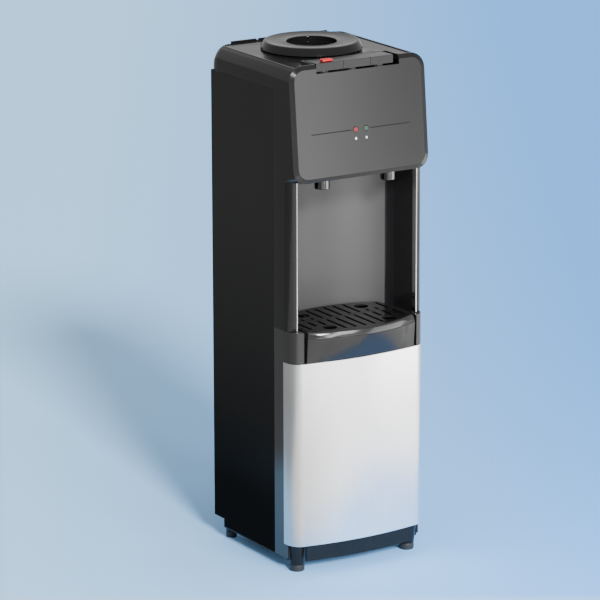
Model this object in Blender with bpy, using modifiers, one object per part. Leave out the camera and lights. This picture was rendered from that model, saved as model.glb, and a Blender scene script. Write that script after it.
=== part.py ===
"""Floor-standing water dispenser for an upturned bottle: hot, room and cold keys over two spouts.

Metres, +Z up. The origin is on the floor under the middle of the overall box. +X is the right
hand of a person facing the front, and the front faces -Y.
"""

import math

import bmesh
import bpy
from mathutils import Matrix

# Overall sizes
WIDTH = 0.2794
CABINET_DEPTH = 0.2896
TRAY_BULGE = 0.0224

# Heights, from the floor up
BASE_BOTTOM = 0.022
SIDE_BOTTOM = 0.026
STEEL_BOTTOM = 0.051
STEEL_HEIGHT = 0.3367
TRAY_HEIGHT = 0.0593
SHELF_RISE = 0.001
BAY_HEIGHT = 0.267
HEAD_HEIGHT = 0.205
SKIRT_HEIGHT = 0.047
COLLAR_RISE = 0.0106

# Plan of the cabinet
SEAM_SETBACK = 0.0766
REAR_RECESS = 0.028
CREASE_SETBACK = 0.0289
STEEL_BOW = 0.0104
CORNER_DEPTH = 0.0352
CORNER_POWER = 2.4

# Sheet and wall thicknesses
SHEET = 0.0012
STEEL_SHEET = 0.0008
SHELL = 0.0025
LINER_WALL = 0.002
FRAME_WALL = 0.003
FLANGE = 0.010

# Clearances
GAP = 0.0003
SLIDE_GAP = 0.0006

# Pillars, trims and dispensing bay
PILLAR_WIDTH = 0.0139
PILLAR_SETBACK = 0.0231
TRIM_WIDTH = 0.0028
TRIM_DEPTH = 0.010
BAY_DEPTH = 0.1491
BAY_RADIUS = 0.245
BAY_CORNER = 0.0172
COLUMN_WIDTH = 0.022

# Drip tray and grille
TRAY_SIDE_GAP = 0.0057
TRAY_FRONT_BOW = 0.0293
TRAY_LIP = 0.0115
TRAY_LIP_LEAN = 0.002
TRAY_GROOVE = 0.0007
TRAY_WALL = 0.0025
TRAY_LEDGE = 0.0045
TRAY_FLOOR = 0.0025
GRILLE_THICKNESS = 0.003
GRILLE_SPLIT = 0.070
SLOT_PITCH = 0.0195
SLOT_WIDTH = 0.006
GRILLE_EDGE = 0.006
SPLIT_GAP = 0.0007
SLOT_END = 0.005
SLOT_FRONT_END = 0.010
GLASS_RING_RADIUS = 0.013
GLASS_RING_OFFSET = 0.062
GLASS_RING_FRONT = 0.0146
GLASS_RING_REAR = 0.0421

# Head
FACE_SETBACK = 0.0036
FACE_LEAN = 0.0175
FACE_BEVEL_WIDTH = 0.0087
FACE_BEVEL_DEPTH = 0.0035
FACE_BOTTOM_DROP = 0.007
FACE_CORNER = 0.020
HEAD_CORNER = 0.024
CROWN_RADIUS = 0.028
CHIN_CORNER = 0.002
CHIN_SETBACK = 0.0356
REAR_SQUEEZE = 0.35
BEZEL_DEPTH = 0.006
FASCIA_THICKNESS = 0.004

# Keys
KEY_PITCH = 0.0559
KEY_SPACE = 0.0006
KEY_SIDE_GAP = 0.009
KEY_SETBACK = 0.0025
KEY_DEPTH = 0.0365
KEY_FRONT_HEIGHT = 0.0145
KEY_THICKNESS = 0.003
KEY_KNUCKLE = 0.0032
KEY_SHAFT_RADIUS = 0.0015
KEY_RISE = 0.001
NOTCH_DEPTH = 0.0095
LOCK_WIDTH = 0.021
LOCK_DEPTH = 0.012
LOCK_HEIGHT = 0.004

# Lights
LIGHT_SPACING = 0.0217
LIGHT_RADIUS = 0.0045
LIGHT_DROP = 0.121
LINE_START = 0.019
LINE_END = 0.1015
LINE_WIDTH = 0.0010
LINE_DEPTH = 0.0006

# Top cover and bottle collar
COVER_MARGIN = 0.0132
COVER_DROP = 0.0036
RAIL_HALF = 0.100
RAIL_SETBACK = 0.0075
RAIL_WIDTH = 0.004
RAIL_DEPTH = 0.014
RAIL_NOTCH_X = 0.046
RAIL_NOTCH = 0.006
RAIL_NOTCH_DEPTH = 0.003
COVER_RIM = 0.003
COVER_DISH = 0.0012
COLLAR_SETBACK = 0.174
COLLAR_RADIUS = 0.0912
COLLAR_TOP_RADIUS = 0.084
THROAT_RADIUS = 0.045
THROAT_WALL = 0.002
THROAT_DEPTH = 0.0335
FUNNEL_DROP = 0.002
COLLAR_SKIRT = 0.0132
GUARD_WALL = 0.002
PROBE_RADIUS = 0.008

# Spouts and valves
SPOUT_OFFSET = 0.0684
SPOUT_SETBACK = 0.0299
SPOUT_RADIUS = 0.0135
SPOUT_DROP = 0.018
SPOUT_RISE = 0.0135
SPOUT_NECK = 0.008
SPOUT_BORE = 0.004
VALVE_SETBACK = 0.018
VALVE_RADIUS = 0.010
VALVE_HEIGHT = 0.036
VALVE_DROP = 0.018
STEM_RADIUS = 0.003
NOZZLE_RADIUS = 0.0045
NOZZLE_LENGTH = 0.006
TUBE_RADIUS = 0.0035

# Tanks and cooling unit
TANK_RADIUS = 0.054
TANK_WALL = 0.0015
TANK_HEIGHT = 0.110
FOAM_WALL = 0.012
COIL_RADIUS = 0.003
COIL_TURNS = 4
COIL_PITCH = 0.016
HOT_TANK_RADIUS = 0.042
HOT_TANK_HEIGHT = 0.125
BAND_HEIGHT = 0.035
COMPRESSOR_RADIUS = 0.060
COMPRESSOR_HEIGHT = 0.135
CONDENSER_ROD = 0.004

# Feet
FOOT_RADIUS = 0.0135
FOOT_HEIGHT = 0.012
FOOT_STEM = 0.017
FOOT_STEM_RADIUS = 0.004
SOCKET_FLARE = 1.33
FOOT_OFFSET = 0.0232
FOOT_FRONT_SETBACK = 0.0386
FOOT_REAR_SETBACK = 0.0245
FOOT_REAR_OFFSET = 0.021
STEP_SETBACK = 0.034
STEP_RISE = 0.014
REAR_FOOT_RADIUS = 0.010
SCREW_RADIUS = 0.004

# Rear fittings
SWITCH_TILT = -8

# Places worked out from the sizes above
HALF = WIDTH / 2
REAR = (CABINET_DEPTH + TRAY_BULGE) / 2
STEEL_APEX = REAR - CABINET_DEPTH
TRAY_APEX = -REAR
CREASE_X = HALF - CREASE_SETBACK
CREASE_Y = STEEL_APEX + STEEL_BOW
SEAM_Y = STEEL_APEX + SEAM_SETBACK
BACK_PLATE = REAR - REAR_RECESS
STEEL_TOP = STEEL_BOTTOM + STEEL_HEIGHT
SHELF_TOP = STEEL_TOP + SHELF_RISE
TRAY_BOTTOM = SHELF_TOP + SLIDE_GAP
TRAY_TOP = STEEL_TOP + TRAY_HEIGHT
HEAD_BOTTOM = TRAY_TOP + BAY_HEIGHT
HEAD_TOP = HEAD_BOTTOM + HEAD_HEIGHT
SKIRT_BOTTOM = HEAD_TOP - SKIRT_HEIGHT
COLLAR_TOP = HEAD_TOP + COLLAR_RISE
PILLAR_FRONT = STEEL_APEX + PILLAR_SETBACK
TRIM_OUTER = HALF - PILLAR_WIDTH
TRIM_INNER = TRIM_OUTER - TRIM_WIDTH
LINER_FRONT = PILLAR_FRONT + TRIM_DEPTH + GAP
BAY_BACK = STEEL_APEX + BAY_DEPTH
BAY_SIDE_X = HALF - BAY_CORNER
COLUMN_INNER = HALF - COLUMN_WIDTH
TRAY_HALF = COLUMN_INNER - TRAY_SIDE_GAP
FACE_Y = STEEL_APEX + FACE_SETBACK
FACE_BOTTOM = HEAD_BOTTOM + FACE_BOTTOM_DROP
FACE_TOP = HEAD_TOP - FACE_BOTTOM_DROP
CHIN_Y = STEEL_APEX + CHIN_SETBACK
CEILING_HALF = TRIM_OUTER - 0.001
CEILING_FRONT = FACE_Y + BEZEL_DEPTH + 0.006
FACE_HALF = HALF - FACE_BEVEL_WIDTH
FACE_SLOPE = FACE_LEAN / (FACE_TOP - FACE_BOTTOM)
KEY_HALF = 1.5 * KEY_PITCH
KEY_FRONT = FACE_Y + FACE_LEAN + KEY_SETBACK
KEY_TOP = HEAD_TOP + KEY_RISE
KEY_PIVOT_Y = KEY_FRONT + KEY_DEPTH
KEY_PIVOT_Z = KEY_TOP - KEY_THICKNESS - KEY_KNUCKLE
NOTCH_HALF = KEY_HALF + 0.0015
NOTCH_BOTTOM = FACE_TOP - NOTCH_DEPTH
COVER_HALF = HALF - COVER_MARGIN
COVER_TOP = HEAD_TOP - COVER_DROP
COVER_FLOOR = COVER_TOP - COVER_DISH
COVER_FRONT = KEY_FRONT - KEY_SETBACK + BEZEL_DEPTH + 0.001
COVER_REAR = REAR - HEAD_CORNER / 2
COLLAR_Y = STEEL_APEX + COLLAR_SETBACK
SPOUT_Y = STEEL_APEX + SPOUT_SETBACK
SPOUT_TOP = HEAD_BOTTOM + SPOUT_RISE
VALVE_Y = KEY_FRONT + VALVE_SETBACK
VALVE_TOP = KEY_TOP - VALVE_DROP
BRACKET_TOP = VALVE_TOP - VALVE_HEIGHT
TANK_TOP = COLLAR_TOP - THROAT_DEPTH - 0.003
TANK_BOTTOM = TANK_TOP - TANK_HEIGHT
COIL_RING = TANK_RADIUS + COIL_RADIUS + 0.0015
FOAM_INNER = COIL_RING + COIL_RADIUS + 0.0015
HOT_TANK_TOP = HEAD_BOTTOM - 0.020
HOT_TANK_BOTTOM = HOT_TANK_TOP - HOT_TANK_HEIGHT
HOT_TANK_Y = (BAY_BACK + BACK_PLATE) / 2 + 0.004
BASE_TOP = STEEL_BOTTOM - GAP
COLUMN_TOP = TRAY_TOP - 0.002
POCKET_TOP = TRAY_TOP - GRILLE_THICKNESS - 0.0015
LINER_BOTTOM = POCKET_TOP + GAP
SOCKET_SIDE = STEEL_APEX + FOOT_FRONT_SETBACK - 0.003
LIGHT_Z = HEAD_TOP - LIGHT_DROP

ABS_BLACK = ("abs_black", (0.012, 0.012, 0.013), 0.22, 0.0)
ABS_DARK = ("abs_dark_grey", (0.035, 0.035, 0.037), 0.30, 0.0)
ABS_SILVER = ("abs_silver", (0.22, 0.22, 0.225), 0.28, 0.35)
PAINTED_SHEET = ("painted_sheet", (0.010, 0.010, 0.011), 0.38, 0.1)
BRUSHED_STEEL = ("brushed_steel", (0.62, 0.62, 0.62), 0.24, 1.0)
CHROME = ("chrome", (0.72, 0.72, 0.73), 0.08, 1.0)
TANK_STEEL = ("tank_steel", (0.55, 0.55, 0.55), 0.30, 1.0)
COPPER = ("copper", (0.70, 0.32, 0.18), 0.30, 1.0)
FOAM = ("insulation_foam", (0.62, 0.60, 0.52), 0.90, 0.0)
SILICONE = ("silicone_tube", (0.72, 0.74, 0.74), 0.45, 0.0)
RUBBER = ("rubber", (0.018, 0.018, 0.018), 0.80, 0.0)
WHITE_ABS = ("white_abs", (0.75, 0.75, 0.74), 0.40, 0.0)
RED_ABS = ("red_abs", (0.62, 0.015, 0.03), 0.32, 0.0)
RED_LENS = ("red_lens", (0.70, 0.03, 0.02), 0.18, 0.0)
GREEN_LENS = ("green_lens", (0.04, 0.60, 0.10), 0.18, 0.0)
BOARD = ("circuit_board", (0.02, 0.16, 0.06), 0.50, 0.0)
ENAMEL = ("black_enamel", (0.015, 0.015, 0.016), 0.42, 0.2)


def clear_scene():
    for obj in list(bpy.data.objects):
        bpy.data.objects.remove(obj, do_unlink=True)
    for name in ("water_dispenser", "cutters"):
        group = bpy.data.collections.new(name)
        bpy.context.scene.collection.children.link(group)


def material(finish):
    name, colour, roughness, metallic = finish
    found = bpy.data.materials.get(name)
    if found:
        return found
    made = bpy.data.materials.new(name)
    made.use_nodes = True
    shader = made.node_tree.nodes["Principled BSDF"]
    shader.inputs["Base Color"].default_value = (*colour, 1.0)
    shader.inputs["Roughness"].default_value = roughness
    shader.inputs["Metallic"].default_value = metallic
    return made


def add_object(name, mesh, finish, smooth=True):
    mesh.name = name
    if smooth:
        mesh.shade_smooth()
        mesh.set_sharp_from_angle(angle=math.radians(35))
    obj = bpy.data.objects.new(name, mesh)
    bpy.data.collections["water_dispenser"].objects.link(obj)
    mesh.materials.clear()
    mesh.materials.append(material(finish))
    return obj


def mesh_from(bm):
    mesh = bpy.data.meshes.new("shape")
    bm.to_mesh(mesh)
    bm.free()
    return mesh


def box(name, low, high, finish):
    bm = bmesh.new()
    bmesh.ops.create_cube(bm, size=1.0)
    size = [high[i] - low[i] for i in range(3)]
    middle = [(high[i] + low[i]) / 2 for i in range(3)]
    bmesh.ops.scale(bm, vec=size, verts=bm.verts)
    bmesh.ops.translate(bm, vec=middle, verts=bm.verts)
    return add_object(name, mesh_from(bm), finish, smooth=False)


def cylinder(name, centre, radius, length, finish, axis="Z", segments=24, end_radius=None):
    bm = bmesh.new()
    last = radius if end_radius is None else end_radius
    bmesh.ops.create_cone(
        bm, cap_ends=True, segments=segments, radius1=radius, radius2=last, depth=length
    )
    turn = {"X": Matrix.Rotation(math.pi / 2, 4, "Y"), "Y": Matrix.Rotation(-math.pi / 2, 4, "X")}
    if axis in turn:
        bmesh.ops.transform(bm, matrix=turn[axis], verts=bm.verts)
    bmesh.ops.translate(bm, vec=centre, verts=bm.verts)
    return add_object(name, mesh_from(bm), finish)


def prism(name, outline, low, high, finish, axis="Z", holes=(), smooth=False):
    """A flat outline, with any holes, given its thickness along one axis from low to high."""
    curve = bpy.data.curves.new(name, "CURVE")
    curve.dimensions = "2D"
    curve.fill_mode = "BOTH"
    curve.extrude = (high - low) / 2
    for loop in (outline, *holes):
        spline = curve.splines.new("POLY")
        spline.points.add(len(loop) - 1)
        for point, (u, v) in zip(spline.points, loop):
            point.co = (u, v, 0.0, 1.0)
        spline.use_cyclic_u = True
    obj = bpy.data.objects.new(name, curve)
    bpy.data.collections["water_dispenser"].objects.link(obj)
    # The outline's first axis stays X for a prism along Z or Y, and becomes Y for one along X.
    turn = {
        "Z": Matrix.Identity(4),
        "Y": Matrix.Rotation(math.pi / 2, 4, "X"),
        "X": Matrix(((0, 0, 1, 0), (1, 0, 0, 0), (0, 1, 0, 0), (0, 0, 0, 1))),
    }[axis]
    step = {"Z": (0, 0, 1), "Y": (0, 1, 0), "X": (1, 0, 0)}[axis]
    middle = (low + high) / 2
    obj.matrix_world = Matrix.Translation([middle * part for part in step]) @ turn
    return realise(obj, finish, smooth)


def realise(obj, finish, smooth=True):
    """Turns a curve object into a mesh object with its caps welded on."""
    bpy.context.view_layer.update()
    evaluated = obj.evaluated_get(bpy.context.evaluated_depsgraph_get())
    mesh = bpy.data.meshes.new_from_object(evaluated)
    mesh.transform(obj.matrix_world)
    name = obj.name
    bpy.data.objects.remove(obj, do_unlink=True)
    bm = bmesh.new()
    bm.from_mesh(mesh)
    bmesh.ops.remove_doubles(bm, verts=bm.verts, dist=1e-6)
    bmesh.ops.recalc_face_normals(bm, faces=bm.faces)
    bm.to_mesh(mesh)
    bm.free()
    return add_object(name, mesh, finish, smooth)


def pipe(name, route, radius, finish, sides=2):
    """A round tube along a list of points."""
    curve = bpy.data.curves.new(name, "CURVE")
    curve.dimensions = "3D"
    curve.bevel_depth = radius
    curve.bevel_resolution = sides
    curve.use_fill_caps = True
    spline = curve.splines.new("POLY")
    spline.points.add(len(route) - 1)
    for point, place in zip(spline.points, route):
        point.co = (*place, 1.0)
    obj = bpy.data.objects.new(name, curve)
    bpy.data.collections["water_dispenser"].objects.link(obj)
    return realise(obj, finish)


def turned(name, profile, centre, finish, steps=36, closed=True):
    """A profile of (radius, height) points spun about the vertical line through centre."""
    bm = bmesh.new()
    points = [bm.verts.new((radius, 0.0, height)) for radius, height in profile]
    for first, second in zip(points, points[1:]):
        bm.edges.new((first, second))
    if closed:
        bm.edges.new((points[-1], points[0]))
    obj = add_object(name, mesh_from(bm), finish)
    screw = obj.modifiers.new("turn", "SCREW")
    screw.axis = "Z"
    screw.angle = 2 * math.pi
    screw.steps = steps
    screw.render_steps = steps
    screw.use_merge_vertices = True
    screw.merge_threshold = 0.00005
    obj.location = centre
    return obj


def sheet(name, path, low, high, thickness, finish):
    """A bent sheet: an open plan path raised from low to high and given its thickness."""
    bm = bmesh.new()
    points = [bm.verts.new((x, y, low)) for x, y in path]
    edges = [bm.edges.new(pair) for pair in zip(points, points[1:])]
    raised = bmesh.ops.extrude_edge_only(bm, edges=edges)["geom"]
    moved = [item for item in raised if isinstance(item, bmesh.types.BMVert)]
    bmesh.ops.translate(bm, vec=(0, 0, high - low), verts=moved)
    obj = add_object(name, mesh_from(bm), finish)
    solid = obj.modifiers.new("thickness", "SOLIDIFY")
    solid.thickness = thickness
    solid.offset = 1.0
    solid.use_even_offset = True
    return obj


def loft(name, sections, finish):
    """A solid through closed sections that have the same number of points, first to last."""
    bm = bmesh.new()
    rings = [[bm.verts.new(point) for point in section] for section in sections]
    count = len(rings[0])
    for lower, upper in zip(rings, rings[1:]):
        for i in range(count):
            j = (i + 1) % count
            bm.faces.new((lower[i], lower[j], upper[j], upper[i]))
    bm.faces.new(rings[0][::-1])
    bm.faces.new(rings[-1])
    bmesh.ops.recalc_face_normals(bm, faces=bm.faces)
    return add_object(name, mesh_from(bm), finish)


def combine(target, other, operation):
    parts = bpy.data.collections["water_dispenser"]
    if other.name in parts.objects:
        parts.objects.unlink(other)
        bpy.data.collections["cutters"].objects.link(other)
    other.hide_render = True
    other.display_type = "WIRE"
    boolean = target.modifiers.new(operation.lower(), "BOOLEAN")
    boolean.operation = operation
    boolean.object = other
    return target


def cut(target, *others):
    for other in others:
        combine(target, other, "DIFFERENCE")
    return target


def join(target, *others):
    for other in others:
        combine(target, other, "UNION")
    return target


def arc(centre, radius, start, end, count):
    """Points on an arc, both ends included; angles in degrees, anticlockwise from +X."""
    points = []
    for step in range(count + 1):
        angle = math.radians(start + (end - start) * step / count)
        points.append((centre[0] + radius * math.cos(angle), centre[1] + radius * math.sin(angle)))
    return points


def circle(centre, radius, count=24):
    return arc(centre, radius, 0, 360, count)[:-1]


def rectangle(low, high):
    return [low, (high[0], low[1]), high, (low[0], high[1])]


def rounded(low, high, bottom, top, count=6):
    """A rectangle with one radius at its two bottom corners and one at its two top corners."""
    left, right = low[0], high[0]
    points = arc((right - bottom, low[1] + bottom), bottom, -90, 0, count)
    points += arc((right - top, high[1] - top), top, 0, 90, count)
    points += arc((left + top, high[1] - top), top, 90, 180, count)
    points += arc((left + bottom, low[1] + bottom), bottom, 180, 270, count)
    return points


def bowed(half_width, apex, bow, count=12):
    """A shallow arc across the front, from -half_width to half_width, with its middle at apex."""
    radius = (half_width**2 + bow**2) / (2 * bow)
    xs = [half_width * (2 * step / count - 1) for step in range(count + 1)]
    return [(x, apex + radius - math.sqrt(radius**2 - x**2)) for x in xs]


def corner(inset, count=7):
    """The rounded front right corner in plan, from the crease to the flat of the side."""
    across = CREASE_SETBACK - inset
    points = []
    for step in range(1, count + 1):
        angle = math.pi / 2 * (1 - step / count)
        x = across * math.cos(angle) ** (2 / CORNER_POWER)
        y = (CORNER_DEPTH - inset) * math.sin(angle) ** (2 / CORNER_POWER)
        points.append((CREASE_X + x, CREASE_Y + CORNER_DEPTH - y))
    return points


def front_path(inset, back):
    """The cabinet's front in plan, from the left side at back round to the right side at back."""
    right = corner(inset)
    left = [(-x, y) for x, y in reversed(right)]
    middle = bowed(CREASE_X, STEEL_APEX + inset, STEEL_BOW)
    return [(-HALF + inset, back), *left, *middle, *right, (HALF - inset, back)]


def face_y(height):
    """How far forward the leaning face of the head is at a height."""
    return FACE_Y + FACE_SLOPE * (height - FACE_BOTTOM)


def bay_half(y, clearance=0.0):
    """Half the clear width of the dispensing bay at a depth."""
    share = (y - LINER_FRONT) / (bay_corner_y() - LINER_FRONT)
    share = min(max(share, 0.0), 1.0)
    return TRIM_INNER + (BAY_SIDE_X - TRIM_INNER) * share**1.6 - clearance


def bay_corner_y():
    """Where the curved back of the bay meets its sides."""
    return BAY_BACK - BAY_RADIUS + math.sqrt(BAY_RADIUS**2 - BAY_SIDE_X**2)


def bay_path(clearance, front):
    """The wall of the bay in plan, from its front left edge round the back to its front right."""
    start = front
    end = bay_corner_y()
    sides = [start + (end - start) * step / 5 for step in range(5)]
    left = [(-bay_half(y, clearance), y) for y in sides]
    half_angle = math.degrees(math.asin(BAY_SIDE_X / BAY_RADIUS))
    centre = (0.0, BAY_BACK - BAY_RADIUS)
    back = arc(centre, BAY_RADIUS - clearance, 90 + half_angle, 90 - half_angle, 14)
    right = [(-x, y) for x, y in reversed(left)]
    return [*left, *back, *right]


def make_base():
    inset = FRAME_WALL + GAP
    skirt = front_path(inset, BACK_PLATE - GAP)
    base = prism("base_plate", skirt, BASE_BOTTOM, BASE_TOP, ABS_BLACK)
    hollow = front_path(inset + FRAME_WALL, BACK_PLATE - GAP - FRAME_WALL)
    cut(base, prism("base_hollow", hollow, 0.0, BASE_TOP - FRAME_WALL, ABS_BLACK))
    low = FOOT_HEIGHT + GAP
    for side in (-1, 1):
        cut(base, corner_recess(side))
        for x, y, radius in feet_places(side):
            middle = (x, y, (low + BASE_TOP - 0.001) / 2)
            top_radius = radius * SOCKET_FLARE
            name = f"socket_{side}_{y:.3f}"
            height = BASE_TOP - 0.001 - low
            join(base, cylinder(name, middle, radius, height, ABS_BLACK, "Z", 20, top_radius))
            bore_radius = FOOT_STEM_RADIUS + GAP
            bore_top = low + FOOT_STEM + 0.004
            bore = ((x, y, bore_top / 2), bore_radius, bore_top)
            cut(base, cylinder(f"bore_{side}_{y:.3f}", *bore, ABS_BLACK, segments=16))
        slot_low = side * (HALF - SHEET - FLANGE - GAP)
        slot_high = side * (HALF + GAP)
        notch = box(
            f"flange_slot_{side}",
            (min(slot_low, slot_high), SEAM_Y, SIDE_BOTTOM - GAP),
            (max(slot_low, slot_high), SEAM_Y + SHEET + 2 * GAP, BASE_TOP + 0.01),
            ABS_BLACK,
        )
        cut(base, notch)
    return base


def corner_recess(side):
    """What is cut from a front corner of the plinth, so that the foot's socket stands clear."""
    edges = sorted((side * (CREASE_X + 0.001), side * (HALF + 0.01)))
    low = (edges[0], STEEL_APEX - 0.01, 0.0)
    high = (edges[1], SOCKET_SIDE, BASE_TOP + 0.01)
    return box(f"corner_recess_{side}", low, high, ABS_BLACK)


def feet_places(side):
    front = (side * (HALF - FOOT_OFFSET), STEEL_APEX + FOOT_FRONT_SETBACK, FOOT_RADIUS)
    rear = (side * (HALF - FOOT_REAR_OFFSET), REAR - FOOT_REAR_SETBACK, REAR_FOOT_RADIUS)
    return front, rear


def make_feet():
    for side, word in ((-1, "left"), (1, "right")):
        for where, (x, y, radius) in zip(("front", "rear"), feet_places(side)):
            profile = [
                (0.0, FOOT_HEIGHT + FOOT_STEM),
                (FOOT_STEM_RADIUS, FOOT_HEIGHT + FOOT_STEM),
                (FOOT_STEM_RADIUS, FOOT_HEIGHT),
                (radius * 0.94, FOOT_HEIGHT),
                (radius, FOOT_HEIGHT - 0.0015),
                (radius, 0.0015),
                (radius * 0.93, 0.0),
                (0.0, 0.0),
            ]
            turned(f"foot_{where}_{word}", profile, (x, y, 0), RUBBER, steps=20, closed=False)


def make_side_panels():
    top = SKIRT_BOTTOM - GAP
    for side, word in ((-1, "left"), (1, "right")):
        front = SEAM_Y + GAP
        outer = side * (HALF - SHEET)
        inner = side * (HALF - SHEET - FLANGE)
        path = [(inner, REAR - SHEET), (outer, REAR - SHEET)]
        path += [(outer, front + SHEET), (inner, front + SHEET)]
        if side < 0:
            path.reverse()
        panel = sheet(f"side_panel_{word}", path, SIDE_BOTTOM, top, SHEET, PAINTED_SHEET)
        step_low = (-HALF - 0.01, REAR - STEP_SETBACK, SIDE_BOTTOM - 0.01)
        step_high = (HALF + 0.01, REAR + 0.01, SIDE_BOTTOM + STEP_RISE)
        cut(panel, box(f"rear_step_{word}", step_low, step_high, PAINTED_SHEET))


def make_lower_frame():
    inset = STEEL_SHEET + GAP
    back = SEAM_Y - GAP
    shelf_back = BAY_BACK + LINER_WALL + 0.003
    shelf_half = HALF - SHEET - FLANGE - 2 * GAP
    outer = front_path(inset, back)
    outer += [(shelf_half, back), (shelf_half, shelf_back)]
    outer += [(-shelf_half, shelf_back), (-shelf_half, back)]
    frame = prism("lower_frame", outer, BASE_TOP + GAP, SHELF_TOP, ABS_DARK)
    under = SHELF_TOP - FRAME_WALL
    beyond = shelf_back + 0.01
    opening = rectangle((-COLUMN_INNER, STEEL_APEX - 0.02), (COLUMN_INNER, beyond))
    cut(frame, prism("frame_opening", opening, 0.0, under, ABS_DARK))
    clear = front_path(inset + FRAME_WALL, beyond)
    cut(frame, prism("frame_hollow", clear, 0.0, under, ABS_DARK))
    pocket_front = LINER_FRONT - GAP
    wall = bay_path(-LINER_WALL, pocket_front)
    pocket = prism("pocket_wall", wall, SHELF_TOP - 0.001, POCKET_TOP, ABS_DARK)
    room = tray_outline(-SLIDE_GAP, STEEL_APEX - 0.05, TRAY_FRONT_BOW)
    cut(pocket, prism("tray_room", room, SHELF_TOP - 0.01, HEAD_TOP, ABS_DARK))
    join(frame, pocket)
    liner = bay_path(-LINER_WALL - GAP, pocket_front)
    for side, word in ((-1, "left"), (1, "right")):
        column = [(side * x, y) for x, y in column_outline()]
        post = prism(f"column_{word}", column, STEEL_TOP, COLUMN_TOP, ABS_DARK)
        cut(post, prism(f"liner_space_{word}", liner, POCKET_TOP, HEAD_TOP, ABS_DARK))
        near = side * (HALF - FRAME_WALL)
        far = side * HALF
        strip = rectangle(
            (min(near, far), CREASE_Y + CORNER_DEPTH + GAP), (max(near, far), back)
        )
        foot = rectangle((min(near, far), SOCKET_SIDE), (max(near, far), back))
        join(frame, post, prism(f"strip_{word}", strip, SIDE_BOTTOM, SHELF_TOP, ABS_DARK))
        join(frame, prism(f"foot_strip_{word}", foot, SIDE_BOTTOM, BASE_TOP, ABS_DARK))
    return frame


def column_outline():
    """The right-hand column beside the tray, in plan."""
    points = [point for point in corner(0.0) if point[0] > COLUMN_INNER + 0.001]
    front = points[0][1]
    points = [(COLUMN_INNER, front - 0.001), *points]
    return [*points, (HALF, SEAM_Y - GAP), (COLUMN_INNER, SEAM_Y - GAP)]


def make_steel_panel():
    path = front_path(STEEL_SHEET, CREASE_Y)[-2:0:-1]
    top = STEEL_TOP - GAP
    sheet("steel_front_panel", path, STEEL_BOTTOM, top, STEEL_SHEET, BRUSHED_STEEL)


def pillar_outline():
    """The right-hand pillar beside the bay, in plan."""
    start = PILLAR_FRONT + 0.020
    across = HALF - TRIM_OUTER - 0.0025
    points = [(TRIM_OUTER + GAP, PILLAR_FRONT)]
    for step in range(7):
        angle = math.pi / 2 * (1 - step / 6)
        x = HALF - across * (1 - math.cos(angle))
        points.append((x, start - 0.020 * math.sin(angle)))
    inner = TRIM_OUTER + GAP
    return [*points, (HALF, SEAM_Y - GAP), (inner, SEAM_Y - GAP)]


def make_trims():
    low = COLUMN_TOP + GAP
    high = HEAD_BOTTOM - GAP
    for side, word in ((-1, "left"), (1, "right")):
        back = PILLAR_FRONT + TRIM_DEPTH
        front = PILLAR_FRONT - 0.0012
        trim = [
            (TRIM_OUTER, front + 0.0012),
            (TRIM_OUTER - 0.001, front),
            (TRIM_INNER + 0.001, front),
            (TRIM_INNER, front + 0.001),
            (TRIM_INNER, back),
            (TRIM_OUTER, back),
        ]
        trim = [(side * x, y) for x, y in trim]
        prism(f"chrome_trim_{word}", trim, low, high, CHROME)


def make_liner():
    path = bay_path(0.0, LINER_FRONT)
    sheet("bay_liner", path, LINER_BOTTOM, HEAD_BOTTOM - GAP, LINER_WALL, ABS_SILVER)


def tray_outline(inset, apex, bow):
    """The tray in plan, shrunk by inset, with its front bowed as asked."""
    half = TRAY_HALF - inset
    front = bowed(half, apex + inset, bow)
    back = [(x, y) for x, y in bay_path(SLIDE_GAP * 2 + inset, LINER_FRONT)]
    limit = half
    rear = [(max(min(x, limit), -limit), y) for x, y in back if y > SEAM_Y - 0.02]
    return [*front, *reversed(rear)]


def make_tray():
    flat = tray_outline(0.0, STEEL_APEX, STEEL_BOW)
    full = tray_outline(0.0, TRAY_APEX, TRAY_FRONT_BOW)
    groove = tray_outline(TRAY_GROOVE, TRAY_APEX, TRAY_FRONT_BOW)
    lip = tray_outline(TRAY_LIP_LEAN, TRAY_APEX, TRAY_FRONT_BOW)
    top = tray_outline(TRAY_LIP_LEAN + 0.0025, TRAY_APEX, TRAY_FRONT_BOW)
    levels = (
        (flat, TRAY_BOTTOM),
        (full, TRAY_TOP - TRAY_LIP - 2 * TRAY_GROOVE),
        (groove, TRAY_TOP - TRAY_LIP - 1.5 * TRAY_GROOVE),
        (groove, TRAY_TOP - TRAY_LIP - TRAY_GROOVE),
        (full, TRAY_TOP - TRAY_LIP - TRAY_GROOVE / 2),
        (lip, TRAY_TOP - 0.0025),
        (top, TRAY_TOP),
    )
    sections = [[(x, y, z) for x, y in outline] for outline, z in levels]
    tray = loft("drip_tray", sections, ABS_SILVER)
    seat_low = TRAY_TOP - GRILLE_THICKNESS - GAP
    seat = tray_outline(GRILLE_EDGE, TRAY_APEX, TRAY_FRONT_BOW)
    cut(tray, prism("tray_seat", seat, seat_low, TRAY_TOP + 0.01, ABS_SILVER))
    narrow = tray_outline(GRILLE_EDGE + TRAY_LEDGE, TRAY_APEX, TRAY_FRONT_BOW)
    wide = tray_outline(TRAY_WALL, TRAY_APEX, TRAY_FRONT_BOW)
    floor = tray_outline(TRAY_WALL, STEEL_APEX + TRAY_WALL / 2, STEEL_BOW)
    levels = (
        (floor, TRAY_BOTTOM + TRAY_FLOOR),
        (wide, TRAY_TOP - TRAY_LIP),
        (narrow, seat_low - TRAY_LEDGE / 2),
        (narrow, TRAY_TOP + 0.01),
    )
    sections = [[(x, y, z) for x, y in outline] for outline, z in levels]
    cut(tray, loft("tray_basin", sections, ABS_SILVER))
    return tray


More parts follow.
